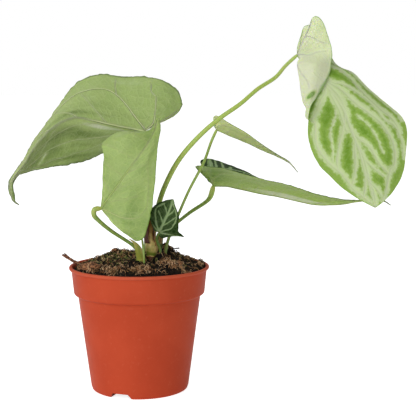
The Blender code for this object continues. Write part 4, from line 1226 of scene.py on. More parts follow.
LEAF_D = Leaf(
    letter="d",
    midrib=(
        (135, 15, 286), (147.5, 12, 272.5), (161, 9, 259), (172, 5, 244.5), (179.5, 1, 225.5), (187, -3, 206),
        (192, -7, 187.5), (197, -10, 172.5), (200, -12, 158),
    ),
    first=(
        (0, 139.5, 20, 295), (0, 146.5, 30, 304), (0, 153, 38, 308.5), (0, 158.5, 44, 303.5),
        (0, 163.5, 42, 292.5), (0, 171.3, 33, 278.5), (0.08, 185, 28, 271.5), (0.18, 199, 22, 257),
        (0.28, 213, 17, 245), (0.38, 225.5, 13, 233.5), (0.5, 229.5, 9, 221), (0.6, 228, 5, 204),
        (0.7, 225, 1, 186), (0.8, 217.5, -4, 173), (0.9, 208.5, -9, 164),
    ),
    second=(
        (0, 135, 12, 293), (0, 138, 9, 303), (0, 140.2, 8, 309.9), (0, 146.2, 6, 312.4), (0, 146.6, 4, 316.8),
        (0, 150, 3, 318.2), (0, 154.7, 4, 315), (0, 161, 10, 301.6), (0, 164.5, 14, 290.3),
        (0.05, 135.5, 12, 280, 150, 7.5, 279, 164.6, 15, 280.8),
        (0.12, 136.5, 10, 269, 148.8, 5.5, 270.5, 162.4, 11.5, 269.2),
        (0.2, 138, 7, 256.5, 147, 2, 259, 157, 6.5, 259),
        (0.28, 140, 3, 245, 144.3, -1, 248, 150.6, 3, 249.5),
        (0.36, 154.5, 2, 240.5, 141.5, -3, 234, 144.5, -7, 240.5), (0.44, 143, -5, 224.5),
        (0.52, 144, -6, 214), (0.6, 147.5, -8, 203), (0.68, 153, -10, 193), (0.76, 162.5, -12, 183.5),
        (0.84, 174, -13, 173), (0.92, 187, -13, 164.5),
    ),
    bow=(-3, -2), under=YOUNG_UNDERSIDE, upper=SILVER_UPPER, slot="leaf_silver", band=2.4,
    first_veins=(
        Vein(((0.1, 0.03), (0.226, 0.068), (0.291, 0.085), (0.367, 0.051), (0.467, 0.005)), 2.8, 0.1),
        Vein(((0.63, 0.015), (0.754, 0.085), (0.844, 0.06), (0.915, 0.17), (0.985, 0.39)), 2.2, 0.1),
        Vein(((0, 0.1), (0.02, 0.4), (0.06, 0.61), (0.101, 0.712), (0.146, 0.746), (0.221, 0.678),
              (0.286, 0.661), (0.347, 0.661), (0.397, 0.763), (0.462, 0.831), (0.513, 0.864)), 2.4, 0.6),
        Vein(((0.15, 0.05), (0.196, 0.186), (0.206, 0.39), (0.241, 0.492), (0.286, 0.559), (0.337, 0.576),
              (0.427, 0.61), (0.462, 0.78), (0.528, 0.864), (0.573, 0.932), (0.628, 0.966)), 1.7, 0.6),
        Vein(((0.18, 0.03), (0.211, 0.13), (0.261, 0.237), (0.342, 0.271), (0.392, 0.373), (0.452, 0.525),
              (0.513, 0.627), (0.568, 0.729), (0.618, 0.78), (0.673, 0.78), (0.709, 0.712), (0.754, 0.695),
              (0.824, 0.763), (0.91, 0.881)), 2.4),
        Vein(((0.442, 0.186), (0.492, 0.305), (0.548, 0.407), (0.613, 0.475), (0.638, 0.525)), 0.4, 0.3),
        Vein(((0.5, 0), (0.563, 0.03), (0.623, 0.254), (0.693, 0.39), (0.734, 0.661)), 1.9, 0.8),
        Vein(((0.66, 0.02), (0.704, 0.068), (0.739, 0.254), (0.759, 0.559)), 1.4, 0.6),
        Vein(((0.8, 0), (0.844, 0.06), (0.859, 0.305), (0.889, 0.678)), 1.6, 0.6),
        Vein(((-0.6, 0.05), (-0.45, 0.45), (-0.3, 0.85)), 1.8, 0.4),
        Vein(((-0.2, 0.9), (-0.05, 0.93), (0.04, 0.94), (0.12, 0.97), (0.25, 0.98), (0.4, 0.97)), 2.4, 0.1),
    ),
    second_veins=(
        Vein(((0.18, 0.02), (0.266, 0.051), (0.302, 0.169), (0.357, 0.424), (0.432, 0.78), (0.503, 0.831),
              (0.573, 0.847), (0.628, 0.814), (0.693, 0.746), (0.734, 0.695), (0.799, 0.661), (0.854, 0.695),
              (0.915, 0.627), (0.97, 0.4)), 2.6),
        Vein(((0.402, 0.153), (0.472, 0.373), (0.508, 0.475), (0.568, 0.525), (0.633, 0.593), (0.678, 0.678)),
             0.5, 0.3),
        Vein(((0.44, 0), (0.533, 0.203), (0.588, 0.356), (0.648, 0.492), (0.704, 0.627), (0.734, 0.695)), 2),
        Vein(((0.6, 0), (0.638, 0.068), (0.719, 0.169), (0.784, 0.339), (0.824, 0.576)), 1.7, 0.8),
        Vein(((0.78, 0), (0.804, 0.02), (0.864, 0.203), (0.91, 0.576)), 1.6, 0.6),
        Vein(((-0.02, 0.03), (0.01, 0.3), (0, 0.56), (0, 0.9)), 1.6, 0.25),
        Vein(((-0.85, 0.1), (-0.58, 0.44), (-0.33, 0.51), (-0.15, 0.73), (-0.08, 0.95)), 1.4, 0.25),
        Vein(((0.05, 0.05), (0.055, 0.2), (0.15, 0.53), (0.21, 0.66)), 1.4, 0.2),
        Vein(((0.3, 0.03), (0.4, 0.08), (0.47, 0.11), (0.53, 0.1)), 2.8, 0.05),
    ),
    tone=(0.1, 0), waves=(10, 6),
    patches=((-1, 0.246, 0.78, 0.021, 0.085, 3.2), (-1, 0.258, 0.7, 0.015, 0.06, 2.6)), taper=0.15,
    ragged=0.15, rows=150, columns=50, ridge=0.8,
)

LEAF_E = Leaf(
    letter="e",
    midrib=(
        (66.5, 25, 222), (80, 26, 216), (93.5, 27, 210.5), (106, 28, 204.5), (119.5, 29, 198.5),
        (130, 30, 193), (134.5, 30, 188.5), (138, 30, 184.5),
    ),
    first=(
        (0, 64.5, 33, 224), (0, 64, 42, 226.5), (0, 66, 50, 227.5), (0, 70, 54, 227.5), (0.15, 78, 56, 224),
        (0.3, 88.5, 54, 218), (0.45, 99, 49, 212), (0.6, 110.5, 42, 205.5), (0.75, 121.5, 36, 198.5),
        (0.87, 130.5, 31, 193),
    ),
    second=(
        (0, 64.5, 18, 227.5), (0, 63.5, 10, 233), (0, 65.5, 3, 235), (0, 68.5, -1, 234), (0.15, 75, -3, 230),
        (0.3, 85.5, 0, 224), (0.45, 95.5, 6, 217.5), (0.6, 107, 14, 209), (0.75, 120, 22, 200.5),
        (0.87, 130, 29, 194.5),
    ),
    bow=(-1.5, -1.5), under=SMALL_UNDERSIDE, band=0.9, first_veins=usual_veins(0.75, 5),
    second_veins=usual_veins(0.75, 5), tone=(0.05, 0.05), waves=(4, 8), rows=100, columns=30, ridge=0.5,
    ruffle=0.25, ragged=0.12,
)

LEAF_F = Leaf(
    letter="f",
    midrib=(
        (64, 48, 171), (76, 48, 170.5), (89, 47, 168), (104.5, 46, 164.5), (125, 44, 161), (140, 42, 157.5),
        (152.5, 41, 155), (166, 40, 154.5), (181, 39, 155.5), (192.5, 38, 158), (204.5, 37, 159.5),
        (216.5, 36, 158), (221, 35, 155),
    ),
    first=(
        (0, 58.5, 55, 175.5), (0, 54, 64, 186), (0, 52, 73, 192), (0, 58, 83, 193), (0.08, 67.5, 89, 191),
        (0.17, 79.5, 90, 186.5), (0.26, 92, 87, 182), (0.36, 105.5, 81, 175.5), (0.46, 124.5, 73, 168.5),
        (0.55, 143, 63, 162), (0.64, 160, 53, 157.5), (0.73, 177, 45, 156.5), (0.81, 191.5, 40, 157.5),
        (0.89, 204.5, 37.5, 159),
    ),
    second=(
        (0, 57.5, 39, 178.5), (0, 52, 32, 184.5), (0, 48, 26, 189.5), (0, 52, 19, 191.5), (0, 59, 11, 191),
        (0.08, 70, 4, 190.5), (0.17, 83, 1, 187.5), (0.26, 96.5, 2, 183.5), (0.36, 113, 7, 179),
        (0.46, 131, 14, 174.5), (0.55, 147, 22, 168.5), (0.64, 163, 29, 163.5), (0.73, 178.5, 34, 160.5),
        (0.81, 192, 37, 159.5), (0.89, 204.5, 36.5, 160.5),
    ),
    bow=(-3, -3), under=GREY_UNDERSIDE, band=2.6,
    first_veins=(
        *usual_veins(1.6, 7),
        Vein(((0, 0.5), (0.01, 0.8), (0.012, 0.99)), 3.4),
        Vein(((0.045, 0.6), (0.057, 0.97)), 1.5),
        Vein(((0.092, 0.6), (0.108, 0.97)), 1.5),
        Vein(((0.13, 0.6), (0.16, 0.86)), 2),
    ),
    second_veins=usual_veins(1.1, 7, 0.25), tone=(0.1, 0.15), waves=(3, 14),
    # The negative patches of the second half reach the painted highlight colour: a painted grey sheen on that
    # half.
    patches=(
        (-1, 0.35, 0.12, 0.25, 0.14, -0.9), (-1, 0.55, 0.2, 0.2, 0.2, -0.6), (-1, 0.02, 0.5, 0.08, 0.5, 0.35),
        (-1, -0.5, 0.5, 0.4, 0.6, 0.35),
    ),
    ridge=0.6,
)


@dataclass
class Stalk:
    """A leaf's stalk, from the soil to the blade, with a swollen joint just below it.

    Attributes:
        path: places from the soil up.
        joint: the blade's own joint, where the stalk ends.
        radii: the radius at the soil, midway and at the blade.
        swelling: how much thicker the joint is.
    """

    letter: str
    path: Path
    joint: Place
    radii: tuple[float, float, float]
    swelling: float
    finish: StalkFinish

    RINGS = 150
    SIDES = 20
    FOOT_DEPTH = 12.0
    JOINT_SPAN = 7.0
    NECK_SPAN = 2.5
    NECK_WIDTH = 0.72
    UNEVEN = 0.05

    def build(self) -> None:
        """A round tube whose radius eases from foot to joint, with small seeded unevenness."""
        places = np.array([*self.path[:-1], self.joint], float)
        foot = places[:1] - (0, 0, self.FOOT_DEPTH)
        line = smooth_line(np.concatenate([foot, places]), self.RINGS)
        gone = np.concatenate([[0], np.cumsum(np.linalg.norm(np.diff(line, axis=0), axis=1))])
        share = gone / gone[-1]
        radius = evenly(share, self.radii)
        left = gone[-1] - gone
        radius = radius * (1 + self.swelling * np.exp(-((left - self.JOINT_SPAN) / self.JOINT_SPAN) ** 2))
        radius = radius * np.interp(left, (0, self.NECK_SPAN), (self.NECK_WIDTH, 1))
        shell = tubes(line, radius, self.SIDES)
        grain = Grain(40 + ord(self.letter))
        centre = np.repeat(np.concatenate([line[:1], line, line[-1:]]), self.SIDES, axis=0)
        out = unit(shell.places - centre)
        shell.places = shell.places + out * self.UNEVEN * grain.at(shell.places, 9)[:, None]
        shell.piece(f"petiole_{self.letter}", [self.finish.material()], "stalk_green", f"stalk_{self.letter}")


STALKS = (
    Stalk("a", ((5, 12, 107.5), (5, 12, 130.5), (3, 10, 162), (0.5, 9, 192.5), (2, 9, 209.5), (4, 10, 218.5)),
          LEAF_A.midrib[0], (1.9, 1.6, 1.5), 0.15, STALK_GREEN),
    Stalk("b", ((2.2, -14, 112), (1.2, -15.2, 119), (-1.2, -18, 123.6), (-5, -20.3, 128), (-10.5, -21.8, 132),
                (-22.5, -27, 141), (-32, -31, 150), (-35, -32, 154), (-34.5, -32.5, 158.5),
                (-31.5, -32, 160)),
          LEAF_B.midrib[0], (1.6, 1.5, 1.9), 0.2, STALK_OLIVE),
    Stalk("c", ((18.5, -9, 111.5), (18.3, -9.5, 122), (16.6, -10.5, 127.2), (15.6, -11.5, 131),
                (15.7, -13, 134.5)),
          LEAF_C.midrib[0], (1.1, 1.2, 1.1), 0, STALK_DARK),
    Stalk("d", ((10.5, 7, 108.5), (11.5, 6, 129.5), (17.5, 0, 161.5), (25, -5, 181), (35.5, -9, 199.5),
                (52, -12, 218.5), (68, -12, 232.5), (86, -9, 245), (101, -3, 257.5), (116.5, 5, 267.5),
                (125, 10, 277), (133, 14, 285.5)),
          LEAF_D.midrib[0], (2.6, 2, 1.5), 0, STALK_PAINTED_LIT),
    Stalk("e", ((21.5, 6, 108.5), (22.5, 6, 119), (25.5, 6, 130.5), (35, 5, 153.5), (42.5, 5, 170.5),
                (52, 5, 188.5), (56.5, 8, 197.5), (62, 17, 212.5), (65.5, 23, 219)),
          LEAF_E.midrib[0], (1.5, 1.2, 1.2), 0.1, STALK_GREEN),
    Stalk("f", ((15.5, 13, 107.5), (16, 13, 123.5), (20.5, 16, 132.5), (32.5, 22, 141.5), (43, 30, 149),
                (58, 41, 158), (61, 44, 161.5), (63.5, 47, 167.5)),
          LEAF_F.midrib[0], (1.7, 1.5, 1.9), 0.3, STALK_OLIVE),
)


@dataclass(frozen=True)
class Sheath:
    """The base of an old leaf wrapped round the crown.

    Attributes:
        facing: the way it faces, in degrees from +X.
        half_turn: how far it reaches round to each side, in degrees.
        foot, tip: the heights it runs between.
        stand: how far it stands off the crown, from its foot to its tip.
        dry: how dry it is at its foot and at its tip, from 0 to 1.
    """

    facing: float
    half_turn: float
    foot: float
    tip: float
    stand: Row
    dry: Share


@dataclass
class Crown:
    """The short stem in the middle, wrapped in old leaf bases and drawn up to a neck.

    Attributes:
        ages: how dry it is at a height.
    """

    path: Path = (
        (10.9, -6, 90), (10.9, -6, 110), (10.9, -6, 114), (10.7, -6, 116.7), (10.9, -6, 120.1),
        (10.9, -6, 123.6), (10.6, -6, 126.3), (10.1, -6, 128.6), (10, -5.8, 130.6), (10, -5.6, 133),
        (10.2, -5.2, 137), (10.4, -4.6, 142), (10.5, -4, 149),
    )
    radii: Row = (4.3, 4.3, 4.2, 4, 5, 5.5, 5.1, 4.1, 3.2, 2.8, 2.6, 2.3, 1.2)
    ages: Rows = ((104, 0.98), (115.2, 0.9), (116.4, 0.12), (119, 0.08), (121, 0.24), (125, 0.3), (128, 0.4),
                  (131, 0.5), (137, 0.6), (149, 0.72))
    sheaths: tuple[Sheath, ...] = (
        Sheath(-95, 100, 105, 115.2, (0.6, 0.5, 0.4), (0.98, 0.9)),
        Sheath(-160, 66, 127.3, 154, (0.6, 2.7, 2.9, 2.7, 2.4, 1.8), (0.96, 0.85)),
        Sheath(-16, 36, 125, 140, (0.2, 0.7, 1.3, 1.2, 0.8), (0.5, 0.85)),
        Sheath(50, 62, 107, 141, (0.5, 0.5, 0.8, 1.6, 1.2), (0.4, 0.85)),
    )

    ROWS = 36
    COLUMNS = 32
    SKIN = 0.4

    def centre_and_radius(self, height: Array) -> tuple[Array, Array]:
        """The crown's middle and radius at a height."""
        path = np.array(self.path)
        centre = np.stack([np.interp(height, path[:, 2], path[:, axis]) for axis in (0, 1)], -1)
        return centre, np.interp(height, path[:, 2], self.radii)

    def wrap(self, sheath: Sheath, grain: Grain) -> Shell:
        """A pointed sheet: its half angle shrinks as what is left to the tip, to the power 0.45."""
        up, round_ = lattice(self.ROWS, self.COLUMNS)
        height = sheath.foot + (sheath.tip - sheath.foot) * up
        centre, radius = self.centre_and_radius(height)
        ragged = 1 + 0.12 * np.sin(9 * up + sheath.facing)
        narrowing = np.maximum(1 - up, 0.01) ** 0.45
        angle = np.radians(sheath.facing + sheath.half_turn * round_ * narrowing * ragged)
        radius = radius + evenly(up, sheath.stand)
        outward = np.stack([np.cos(angle), np.sin(angle), 0 * angle], -1)
        grid = np.concatenate([centre, height[..., None]], -1) + radius[..., None] * outward
        crease = 0.35 * grain.at(grid * (1, 1, 0.15), 2.2, 2) + 0.25 * grain.at(grid, 6, 1)
        grid = grid + outward * crease[..., None]
        dry = sheath.dry[0] + (sheath.dry[1] - sheath.dry[0]) * up + 0.25 * np.abs(round_) ** 6
        return thick_sheet(grid, self.SKIN).mark("dry", np.tile(dry.ravel(), 2))

    def build(self) -> None:
        """The core and its sheaths as one piece."""
        grain = Grain(5)
        line = smooth_line(np.array(self.path), 70)
        radius = np.interp(line[:, 2], np.array(self.path)[:, 2], self.radii)
        core = tubes(line, radius, 40)
        core.marks = {}
        centre, _ = self.centre_and_radius(core.places[:, 2])
        angle = np.degrees(np.arctan2(core.places[:, 1] - centre[:, 1], core.places[:, 0] - centre[:, 0]))
        level = core.places[:, 2] + 1.3 * grain.at(core.places, 5, 2)
        strips = grain.at(core.places * (1, 1, 0.12), 1.7, 2)
        # painted shade: the front right of the crown above 117 mm is browned through its dry mark
        painted_side_shade = np.exp(-((angle + 22) / 32) ** 2) * np.clip((core.places[:, 2] - 117) / 4, 0, 1)
        core.mark("dry", np.interp(level, *np.array(self.ages).T) + 0.1 * strips + 0.2 * painted_side_shade)
        shell = Shell.join([core, *[self.wrap(sheath, grain) for sheath in self.sheaths]])
        shell.piece("old_leaf_bases", [PAPERY.material()], "old_leaf_bases", "crown")


@dataclass(frozen=True)
class StalkSheath:
    """The broad open base of a stalk, wrapped round its foot.

    Attributes:
        path: its middle line, from the peat up.
        radii: its radius along the path.
        facing: the way it faces at its foot and at its tip, in degrees: 0 left, 90 to the front.
        half_turn: how far it reaches round to each side, in degrees.
        blotch: a dry blotch, as a share up the sheath, a share round it and how dry it is.
    """

    name: str
    path: Path
    radii: Row
    facing: Share
    half_turn: float
    blotch: Place
    finish: PaperyFinish

    def build(self) -> None:
        """An open tube with one dry edge: a partial ring that narrows to a point at its tip."""
        line = smooth_line(np.array(self.path), 44)
        up, round_ = lattice(len(line), 32)
        ahead = unit(np.gradient(line, axis=0))
        side = unit(np.cross(ahead, (0, 1, 0)))
        other = np.cross(ahead, side)
        radius = evenly(up, self.radii)
        angle = np.radians(evenly(up, self.facing) + self.half_turn * round_ * (1.02 - up ** 4))
        grid = line[:, None] + radius[..., None] * around(angle, side[:, None], other[:, None])
        blotch_up, blotch_round, blotch_dry = self.blotch
        blotch = np.exp(-((up - blotch_up) / 0.18) ** 2 - ((round_ - blotch_round) / 0.25) ** 2)
        dry = 0.08 + 0.85 * np.clip(round_, 0, 1) ** 4 + 0.35 * up ** 3 + blotch_dry * blotch
        dry = dry + 0.15 * Grain(8).at(grid, 3, 2)
        shell = thick_sheet(grid[:, ::-1], 0.5).mark("dry", np.tile(dry[:, ::-1].ravel(), 2))
        shell.piece(self.name, [self.finish.material()], "stalk_green")


SHEATHS = (
    StalkSheath("stalk_b_sheath",
                ((2.4, -13.5, 108), (2.2, -13.8, 113), (2, -14, 116.2), (1.3, -15, 119.1), (0, -16.5, 122.4),
                 (-2, -18, 125.9), (-4.6, -19.2, 128.8), (-8.6, -20.5, 131.6)),
                (3.4, 3.6, 3.6, 3.4, 3.3, 2.8, 2.1, 1.6), (110, 180), 112, (0.42, 0.3, 0.6), SHEATH_B),
    StalkSheath("stalk_f_sheath",
                ((16.1, 12, 108), (16.3, 12, 117.4), (16.6, 12, 122.3), (16.8, 12, 127), (17.2, 12.3, 132),
                 (18.8, 13, 138)),
                (2.4, 2.5, 2.8, 3, 3, 1.6), (90, 120), 120, (0.7, 0, 0.5), SHEATH_F),
)


@dataclass
class Pot:
    """The nursery pot: a thin turned wall with a collar and a lip, notches at its foot and drain holes."""

    height: float = 107
    rim: float = 60
    wall: float = 1.1
    floor: float = 1.6
    lip: float = 2.6
    collar_top: float = 58
    collar_foot: float = 56
    collar_height: float = 84.3
    body_top: float = 52.6
    body_height: float = 82
    foot: float = 41.7
    foot_height: float = 2.7
    sides: int = 240
    notches: int = 3
    notch: tuple[float, float, float] = (20, 13.5, 4.6)
    notch_depth: float = 14
    first_notch: float = -110
    drains: int = 6
    drain: Share = (24, 3.5)

    ROD_SIDES = 40
    SHARP_ANGLE = 32

    def profile(self) -> Array:
        """The wall's outline as (radius, height): along the floor, up outside, over the lip, down inside."""
        top, rim, wall = self.height, self.rim, self.wall
        lip = top - self.lip
        return np.array([
            (0, 0), (self.foot - 2, 0), (self.foot - 0.5, 0.8), (self.foot, self.foot_height),
            (self.foot + 0.35, self.foot_height + 0.5), (self.body_top, self.body_height),
            (self.collar_foot - 0.5, self.collar_height - 0.8), (self.collar_foot, self.collar_height),
            (self.collar_top, lip - 0.3), (rim - 0.5, lip), (rim, lip + 0.8), (rim, top - 0.7),
            (rim - 0.7, top), (rim - 2.2, top), (rim - 2.9, top - 0.8), (self.collar_top - wall, lip - 0.5),
            (self.collar_foot - wall, self.collar_height + 1.1),
            (self.body_top - wall, self.body_height + 1.2), (self.foot - wall, self.floor), (0, self.floor),
        ], float)

    def rounded(self, points: Array, radius: float = 0.55, steps: int = 5) -> Array:
        """The outline with each corner replaced by a parabola that touches both its sides."""
        made = [points[:1]]
        s = np.linspace(0, 1, steps)[:, None]
        for before, corner, after in zip(points[:-2], points[1:-1], points[2:]):
            reach = [min(radius, 0.45 * np.linalg.norm(other - corner)) for other in (before, after)]
            start = corner + unit(before - corner) * reach[0]
            end = corner + unit(after - corner) * reach[1]
            made.append((1 - s) ** 2 * start + 2 * s * (1 - s) * corner + s * s * end)
        return np.concatenate([*made, points[-1:]])

    def turned(self, outline: Array) -> Shell:
        """The outline turned about Z: (radius cos a, radius sin a, height). Its ends close on the axis."""
        inner = outline[1:-1]
        level = np.repeat(inner[:, 1:2], self.sides, axis=1)[..., None]
        places = np.concatenate([inner[:, 0][:, None, None] * circle(self.sides), level], -1).reshape(-1, 3)
        poles = [(0, 0, outline[0, 1]), (0, 0, outline[-1, 1])]
        return Shell(np.concatenate([places, poles]), poled_faces(len(inner), self.sides))

    def bar(self, start: Array, end: Array, section: Array) -> Shell:
        """A straight bar of one section, whose outline runs clockwise seen from its start."""
        return Shell(np.concatenate([start + section, end + section]), capped_faces(2, len(section)))

    def notch_bar(self, start: Array, end: Array) -> Shell:
        """The bar that cuts a notch: flat on top, its sides slanting out to 1 mm below the ground."""
        width, top_width, height = self.notch
        below, above = (width + (width - top_width) / height) / 2, top_width / 2
        side = np.cross(unit(end - start), (0, 0, 1))
        corners = ((-below, -1), (-above, height), (above, height), (below, -1))
        return self.bar(start, end, np.array([across * side + (0, 0, up) for across, up in corners]))

    def drain_rod(self, angle: float) -> Shell:
        """The upright rod that cuts the drain hole at an angle."""
        away, radius = self.drain
        x, y = away * np.cos(angle), away * np.sin(angle)
        section = np.pad(radius * circle(self.ROD_SIDES), ((0, 0), (0, 1)))
        return self.bar(np.array((x, y, -1)), np.array((x, y, self.floor + 1)), section)

    def holes(self) -> list[Shell]:
        """The notches at the foot and the drain holes in the floor."""
        made = []
        for k in range(self.notches):
            angle = np.radians(self.first_notch + 360 * k / self.notches)
            out = np.array((np.cos(angle), np.sin(angle), 0))
            made.append(self.notch_bar(out * (self.foot - self.notch_depth), out * (self.foot + 2)))
        for k in range(self.drains):
            made.append(self.drain_rod(np.radians(360 * (k + 0.5) / self.drains)))
        return made

    def build(self) -> None:
        """Turns the wall, cuts its holes and gives it its plastic."""
        finish = [TERRACOTTA.material()]
        made = self.turned(self.rounded(self.profile())).piece("nursery_pot", finish)
        cutter = Shell.join(self.holes()).piece("pot_cutter", finish)
        cut = made.modifiers.new("holes", "BOOLEAN")
        cut.operation = "DIFFERENCE"
        cut.object = cutter
        cut.solver = "EXACT"
        bpy.context.view_layer.update()
        made.data = bpy.data.meshes.new_from_object(made.evaluated_get(bpy.context.evaluated_depsgraph_get()))
        made.modifiers.clear()
        bpy.data.objects.remove(cutter)
        made.data.shade_smooth()
        made.data.set_sharp_from_angle(angle=np.radians(self.SHARP_ANGLE))
        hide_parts("pot")


@dataclass
class Peat:
    """The heaped peat and what lies on it: crumbs, fibres and bits of moss.

    Attributes:
        edge_height, edge: the height and radius at which it meets the wall.
        mound_radius, mound_height, tilt, power: the dome's radius, height, lean to the back and steepness.
        lumps: (x, y, rise, spread).
        sides: (radius, height) down the wall.
        fibre_patches, crumb_heaps: (x, y, reach, how many).
        crumb_sorts: (level of the ball, how many, least size, greatest size, share of the heaps).
        sprigs: how many lie left of the crown, in a tuft behind them and strewn over the rest.
    """

    edge_height: float = 103.5
    mound_radius: float = 56
    mound_height: float = 12
    tilt: float = 2
    power: float = 0.8
    edge: float = 56.3
    lumps: Rows = (
        (-24, 12, 0.6, 9), (21, 15, 3.6, 4), (24, 12, 2.5, 7), (26, 15, 1.2, 5), (-44, 24, -4.5, 12),
        (42, 12, 0.3, 8), (30, -30, 2.5, 8), (12, -13, -2.5, 7), (-6, 30, -2, 9), (46, 10, -2, 4),
        (-46, -18, 1.5, 9), (18.5, -10.5, 6.8, 3.6), (17, -1, 2.5, 4), (55, 4, 4.5, 6), (-36, 10, 2.5, 7),
        (-10, -50, 2.4, 10), (14, -49, 2.4, 10), (-32, -40, 1.6, 8), (34, -40, 1.6, 8),
    )
    sides: Rows = ((54.5, 86.1), (51.1, 83.8), (40.6, 5))
    rings: int = 90
    spokes: int = 260
    fibre_patches: Rows = (
        (27, -27, 10, 520), (-35, -33, 6, 90), (-24, 16, 7, 90), (24, 14, 4.5, 110), (44, 6, 6, 80),
        (4, -46, 9, 210), (-19, -44, 9, 190), (-47, -14, 5, 50), (-14, 9, 5, 60), (40, -34, 7, 90),
        (53, -4, 4, 60),
    )
    crumb_heaps: Rows = ((24, 16, 5, 260), (-24, 12, 8, 100), (56, 3, 3, 60))
    crumb_sorts: Rows = ((2, 220, 0.9, 1.8, 0.25), (1, 4200, 0.3, 1.05, 1))
    loose_fibres: int = 1600
    sprigs: tuple[int, int, int] = (160, 70, 100)

    def __post_init__(self) -> None:
        """Draws the peat's grain."""
        self.grain = Grain(21)

    def height(self, x: Array, y: Array) -> Array:
        """A dome that meets the wall, leaning up to the back, with broad lumps and small waves."""
        r = np.minimum(np.hypot(x, y) / self.mound_radius, 1)
        height = (self.mound_height + self.tilt * np.tanh(y / 15)) * (1 - r ** 2) ** self.power
        for lump_x, lump_y, rise, spread in self.lumps:
            height = height + rise * np.exp(-((x - lump_x) ** 2 + (y - lump_y) ** 2) / (2 * spread ** 2))
        waves = 0.7 * np.sin(0.63 * x + 1.7) * np.sin(0.57 * y - 0.6) + 0.4 * np.sin(0.9 * x - 0.8 * y)
        return self.edge_height + height + waves * (1 - r ** 4)

    def rough(self, x: Array, y: Array) -> Array:
        """The height with layered noise: clods of 6 mm down to grains of less than 1 mm."""
        flat = np.stack([x, y, 0 * x], -1)
        clods = 1.1 * self.grain.at(flat, 6, 4) - 0.5 * np.abs(self.grain.at(flat + 50, 2.6, 2))
        return self.height(x, y) + clods

    def ground(self) -> None:
        """The peat's own body: rings over the dome, down the wall and across the floor."""
        ring = circle(self.spokes)
        radius = self.edge * np.linspace(0, 1, self.rings + 1)[1:]
        flat = radius[:, None, None] * ring
        top = np.concatenate([flat, self.rough(flat[..., 0], flat[..., 1])[..., None]], -1)
        wall = [np.concatenate([r * ring, np.full((self.spokes, 1), z)], -1)[None] for r, z in self.sides]
        grid = np.concatenate([top, *wall])
        poles = [(0, 0, float(self.rough(np.zeros(1), np.zeros(1))[0])), (0, 0, self.sides[-1][1])]
        places = np.concatenate([grid.reshape(-1, 3), poles])
        tone = 0.38 + 0.3 * self.grain.at(places, 4, 3)
        shell = Shell(places, poled_faces(len(grid), self.spokes)[:, ::-1]).mark("tone", tone)
        shell.piece("peat", [PEAT.material()], "peat_soil", "soil")

    def scattered(self, rng: np.random.Generator, count: int, reach: float) -> tuple[Array, Array]:
        """Seeded places over a disc, evenly spread."""
        radius, angle = reach * np.sqrt(rng.uniform(0, 1, count)), rng.uniform(0, 2 * pi, count)
        return radius * np.cos(angle), radius * np.sin(angle)

    def crumbs(self) -> None:
        """Angular crumbs: balls with each place pushed in or out, stretched, turned and half sunk."""
        rng = np.random.default_rng(7)
        shells = []
        for level, count, low, high, share in self.crumb_sorts:
            x, y = self.scattered(rng, count, self.edge - 1.4)
            heaps = [(x, y)]
            for heap_x, heap_y, reach, heaped in self.crumb_heaps:
                more = round(heaped * share)
                heaps.append([middle + rng.normal(0, 0.5 * reach, more) for middle in (heap_x, heap_y)])
            x, y = [np.concatenate(values) for values in zip(*heaps)]
            count = len(x)
            size = low + (high - low) * rng.uniform(0, 1, count) ** 2.2
            template, faces = ball(level)
            bumpy = template * rng.uniform(0.62, 1.25, (count, len(template), 1))
            shaped = bumpy * size[:, None, None] * rng.uniform(0.55, 1.35, (count, 1, 3))
            shaped = np.einsum("nij,nkj->nki", turns(rng, count), shaped)
            centre = np.stack([x, y, self.rough(x, y) + 0.25 * size], -1)
            places = (shaped + centre[:, None]).reshape(-1, 3)
            inside = np.hypot(places[:, 0], places[:, 1])
            squeeze = np.minimum(1, self.edge / inside)
            places[:, :2] *= squeeze[:, None]
            faces = (faces + (np.arange(count) * len(template))[:, None, None]).reshape(-1, 3)
            tone = np.clip(rng.normal(0.32, 0.17, count), 0, 0.8)
            pale = (rng.uniform(0, 1, count) > 0.94) & (size < 0.8)
            tone = np.where(pale, rng.uniform(0.8, 1.1, count), tone)
            shells.append(Shell(places, faces).mark("tone", np.repeat(tone, len(template))))
        Shell.join(shells).piece("peat_crumbs", [CRUMB.material()], "peat_soil", smooth=False)

    def strands(self, rng: np.random.Generator, x: Array, y: Array, length: Array, thickness: Array,
                loft: Array, tone: Array) -> Shell:
        """Thin curved strands: each is an arc of a seeded bend, laid over the peat and lifted in the middle.

        Args:
            rng: the seeded source of their turns and bends.
            x, y: their middles.
            length, thickness, loft, tone: the length, radius, lift and tone of each.

        Returns:
            All the strands.
        """
        count, points, sides = len(x), 7, 3
        s = np.linspace(-0.5, 0.5, points)
        heading = rng.uniform(0, 2 * pi, count)[:, None] + rng.uniform(-4.5, 4.5, count)[:, None] * s
        step = length[:, None] / (points - 1)
        dx, dy = np.cumsum(np.cos(heading) * step, 1), np.cumsum(np.sin(heading) * step, 1)
        px = x[:, None] + dx - dx.mean(1, keepdims=True)
        py = y[:, None] + dy - dy.mean(1, keepdims=True)
        inside = np.minimum(1, (self.edge - 1) / np.maximum(np.hypot(px, py), 1e-6))
        px, py = px * inside, py * inside
        lift = loft[:, None] * (1 - (2 * s) ** 2) + rng.uniform(-0.15, 0.25, (count, points))
        lines = np.stack([px, py, self.rough(px, py) + thickness[:, None] + lift], -1)
        taper = np.clip(1.15 - np.abs(2 * s) ** 3, 0.3, 1)
        shell = tubes(lines, thickness[:, None] * taper, sides, (0.13, 0.21, 0.97))
        shell.marks = {}
        return shell.mark("tone", np.repeat(tone, (points + 2) * sides))

    def two_tones(self, rng: np.random.Generator, count: int, pale: float) -> Array:
        """Tones of which a share is pale and the rest dark."""
        return np.where(rng.uniform(0, 1, count) < pale, rng.uniform(0.5, 1, count),
                        rng.uniform(-0.1, 0.12, count))

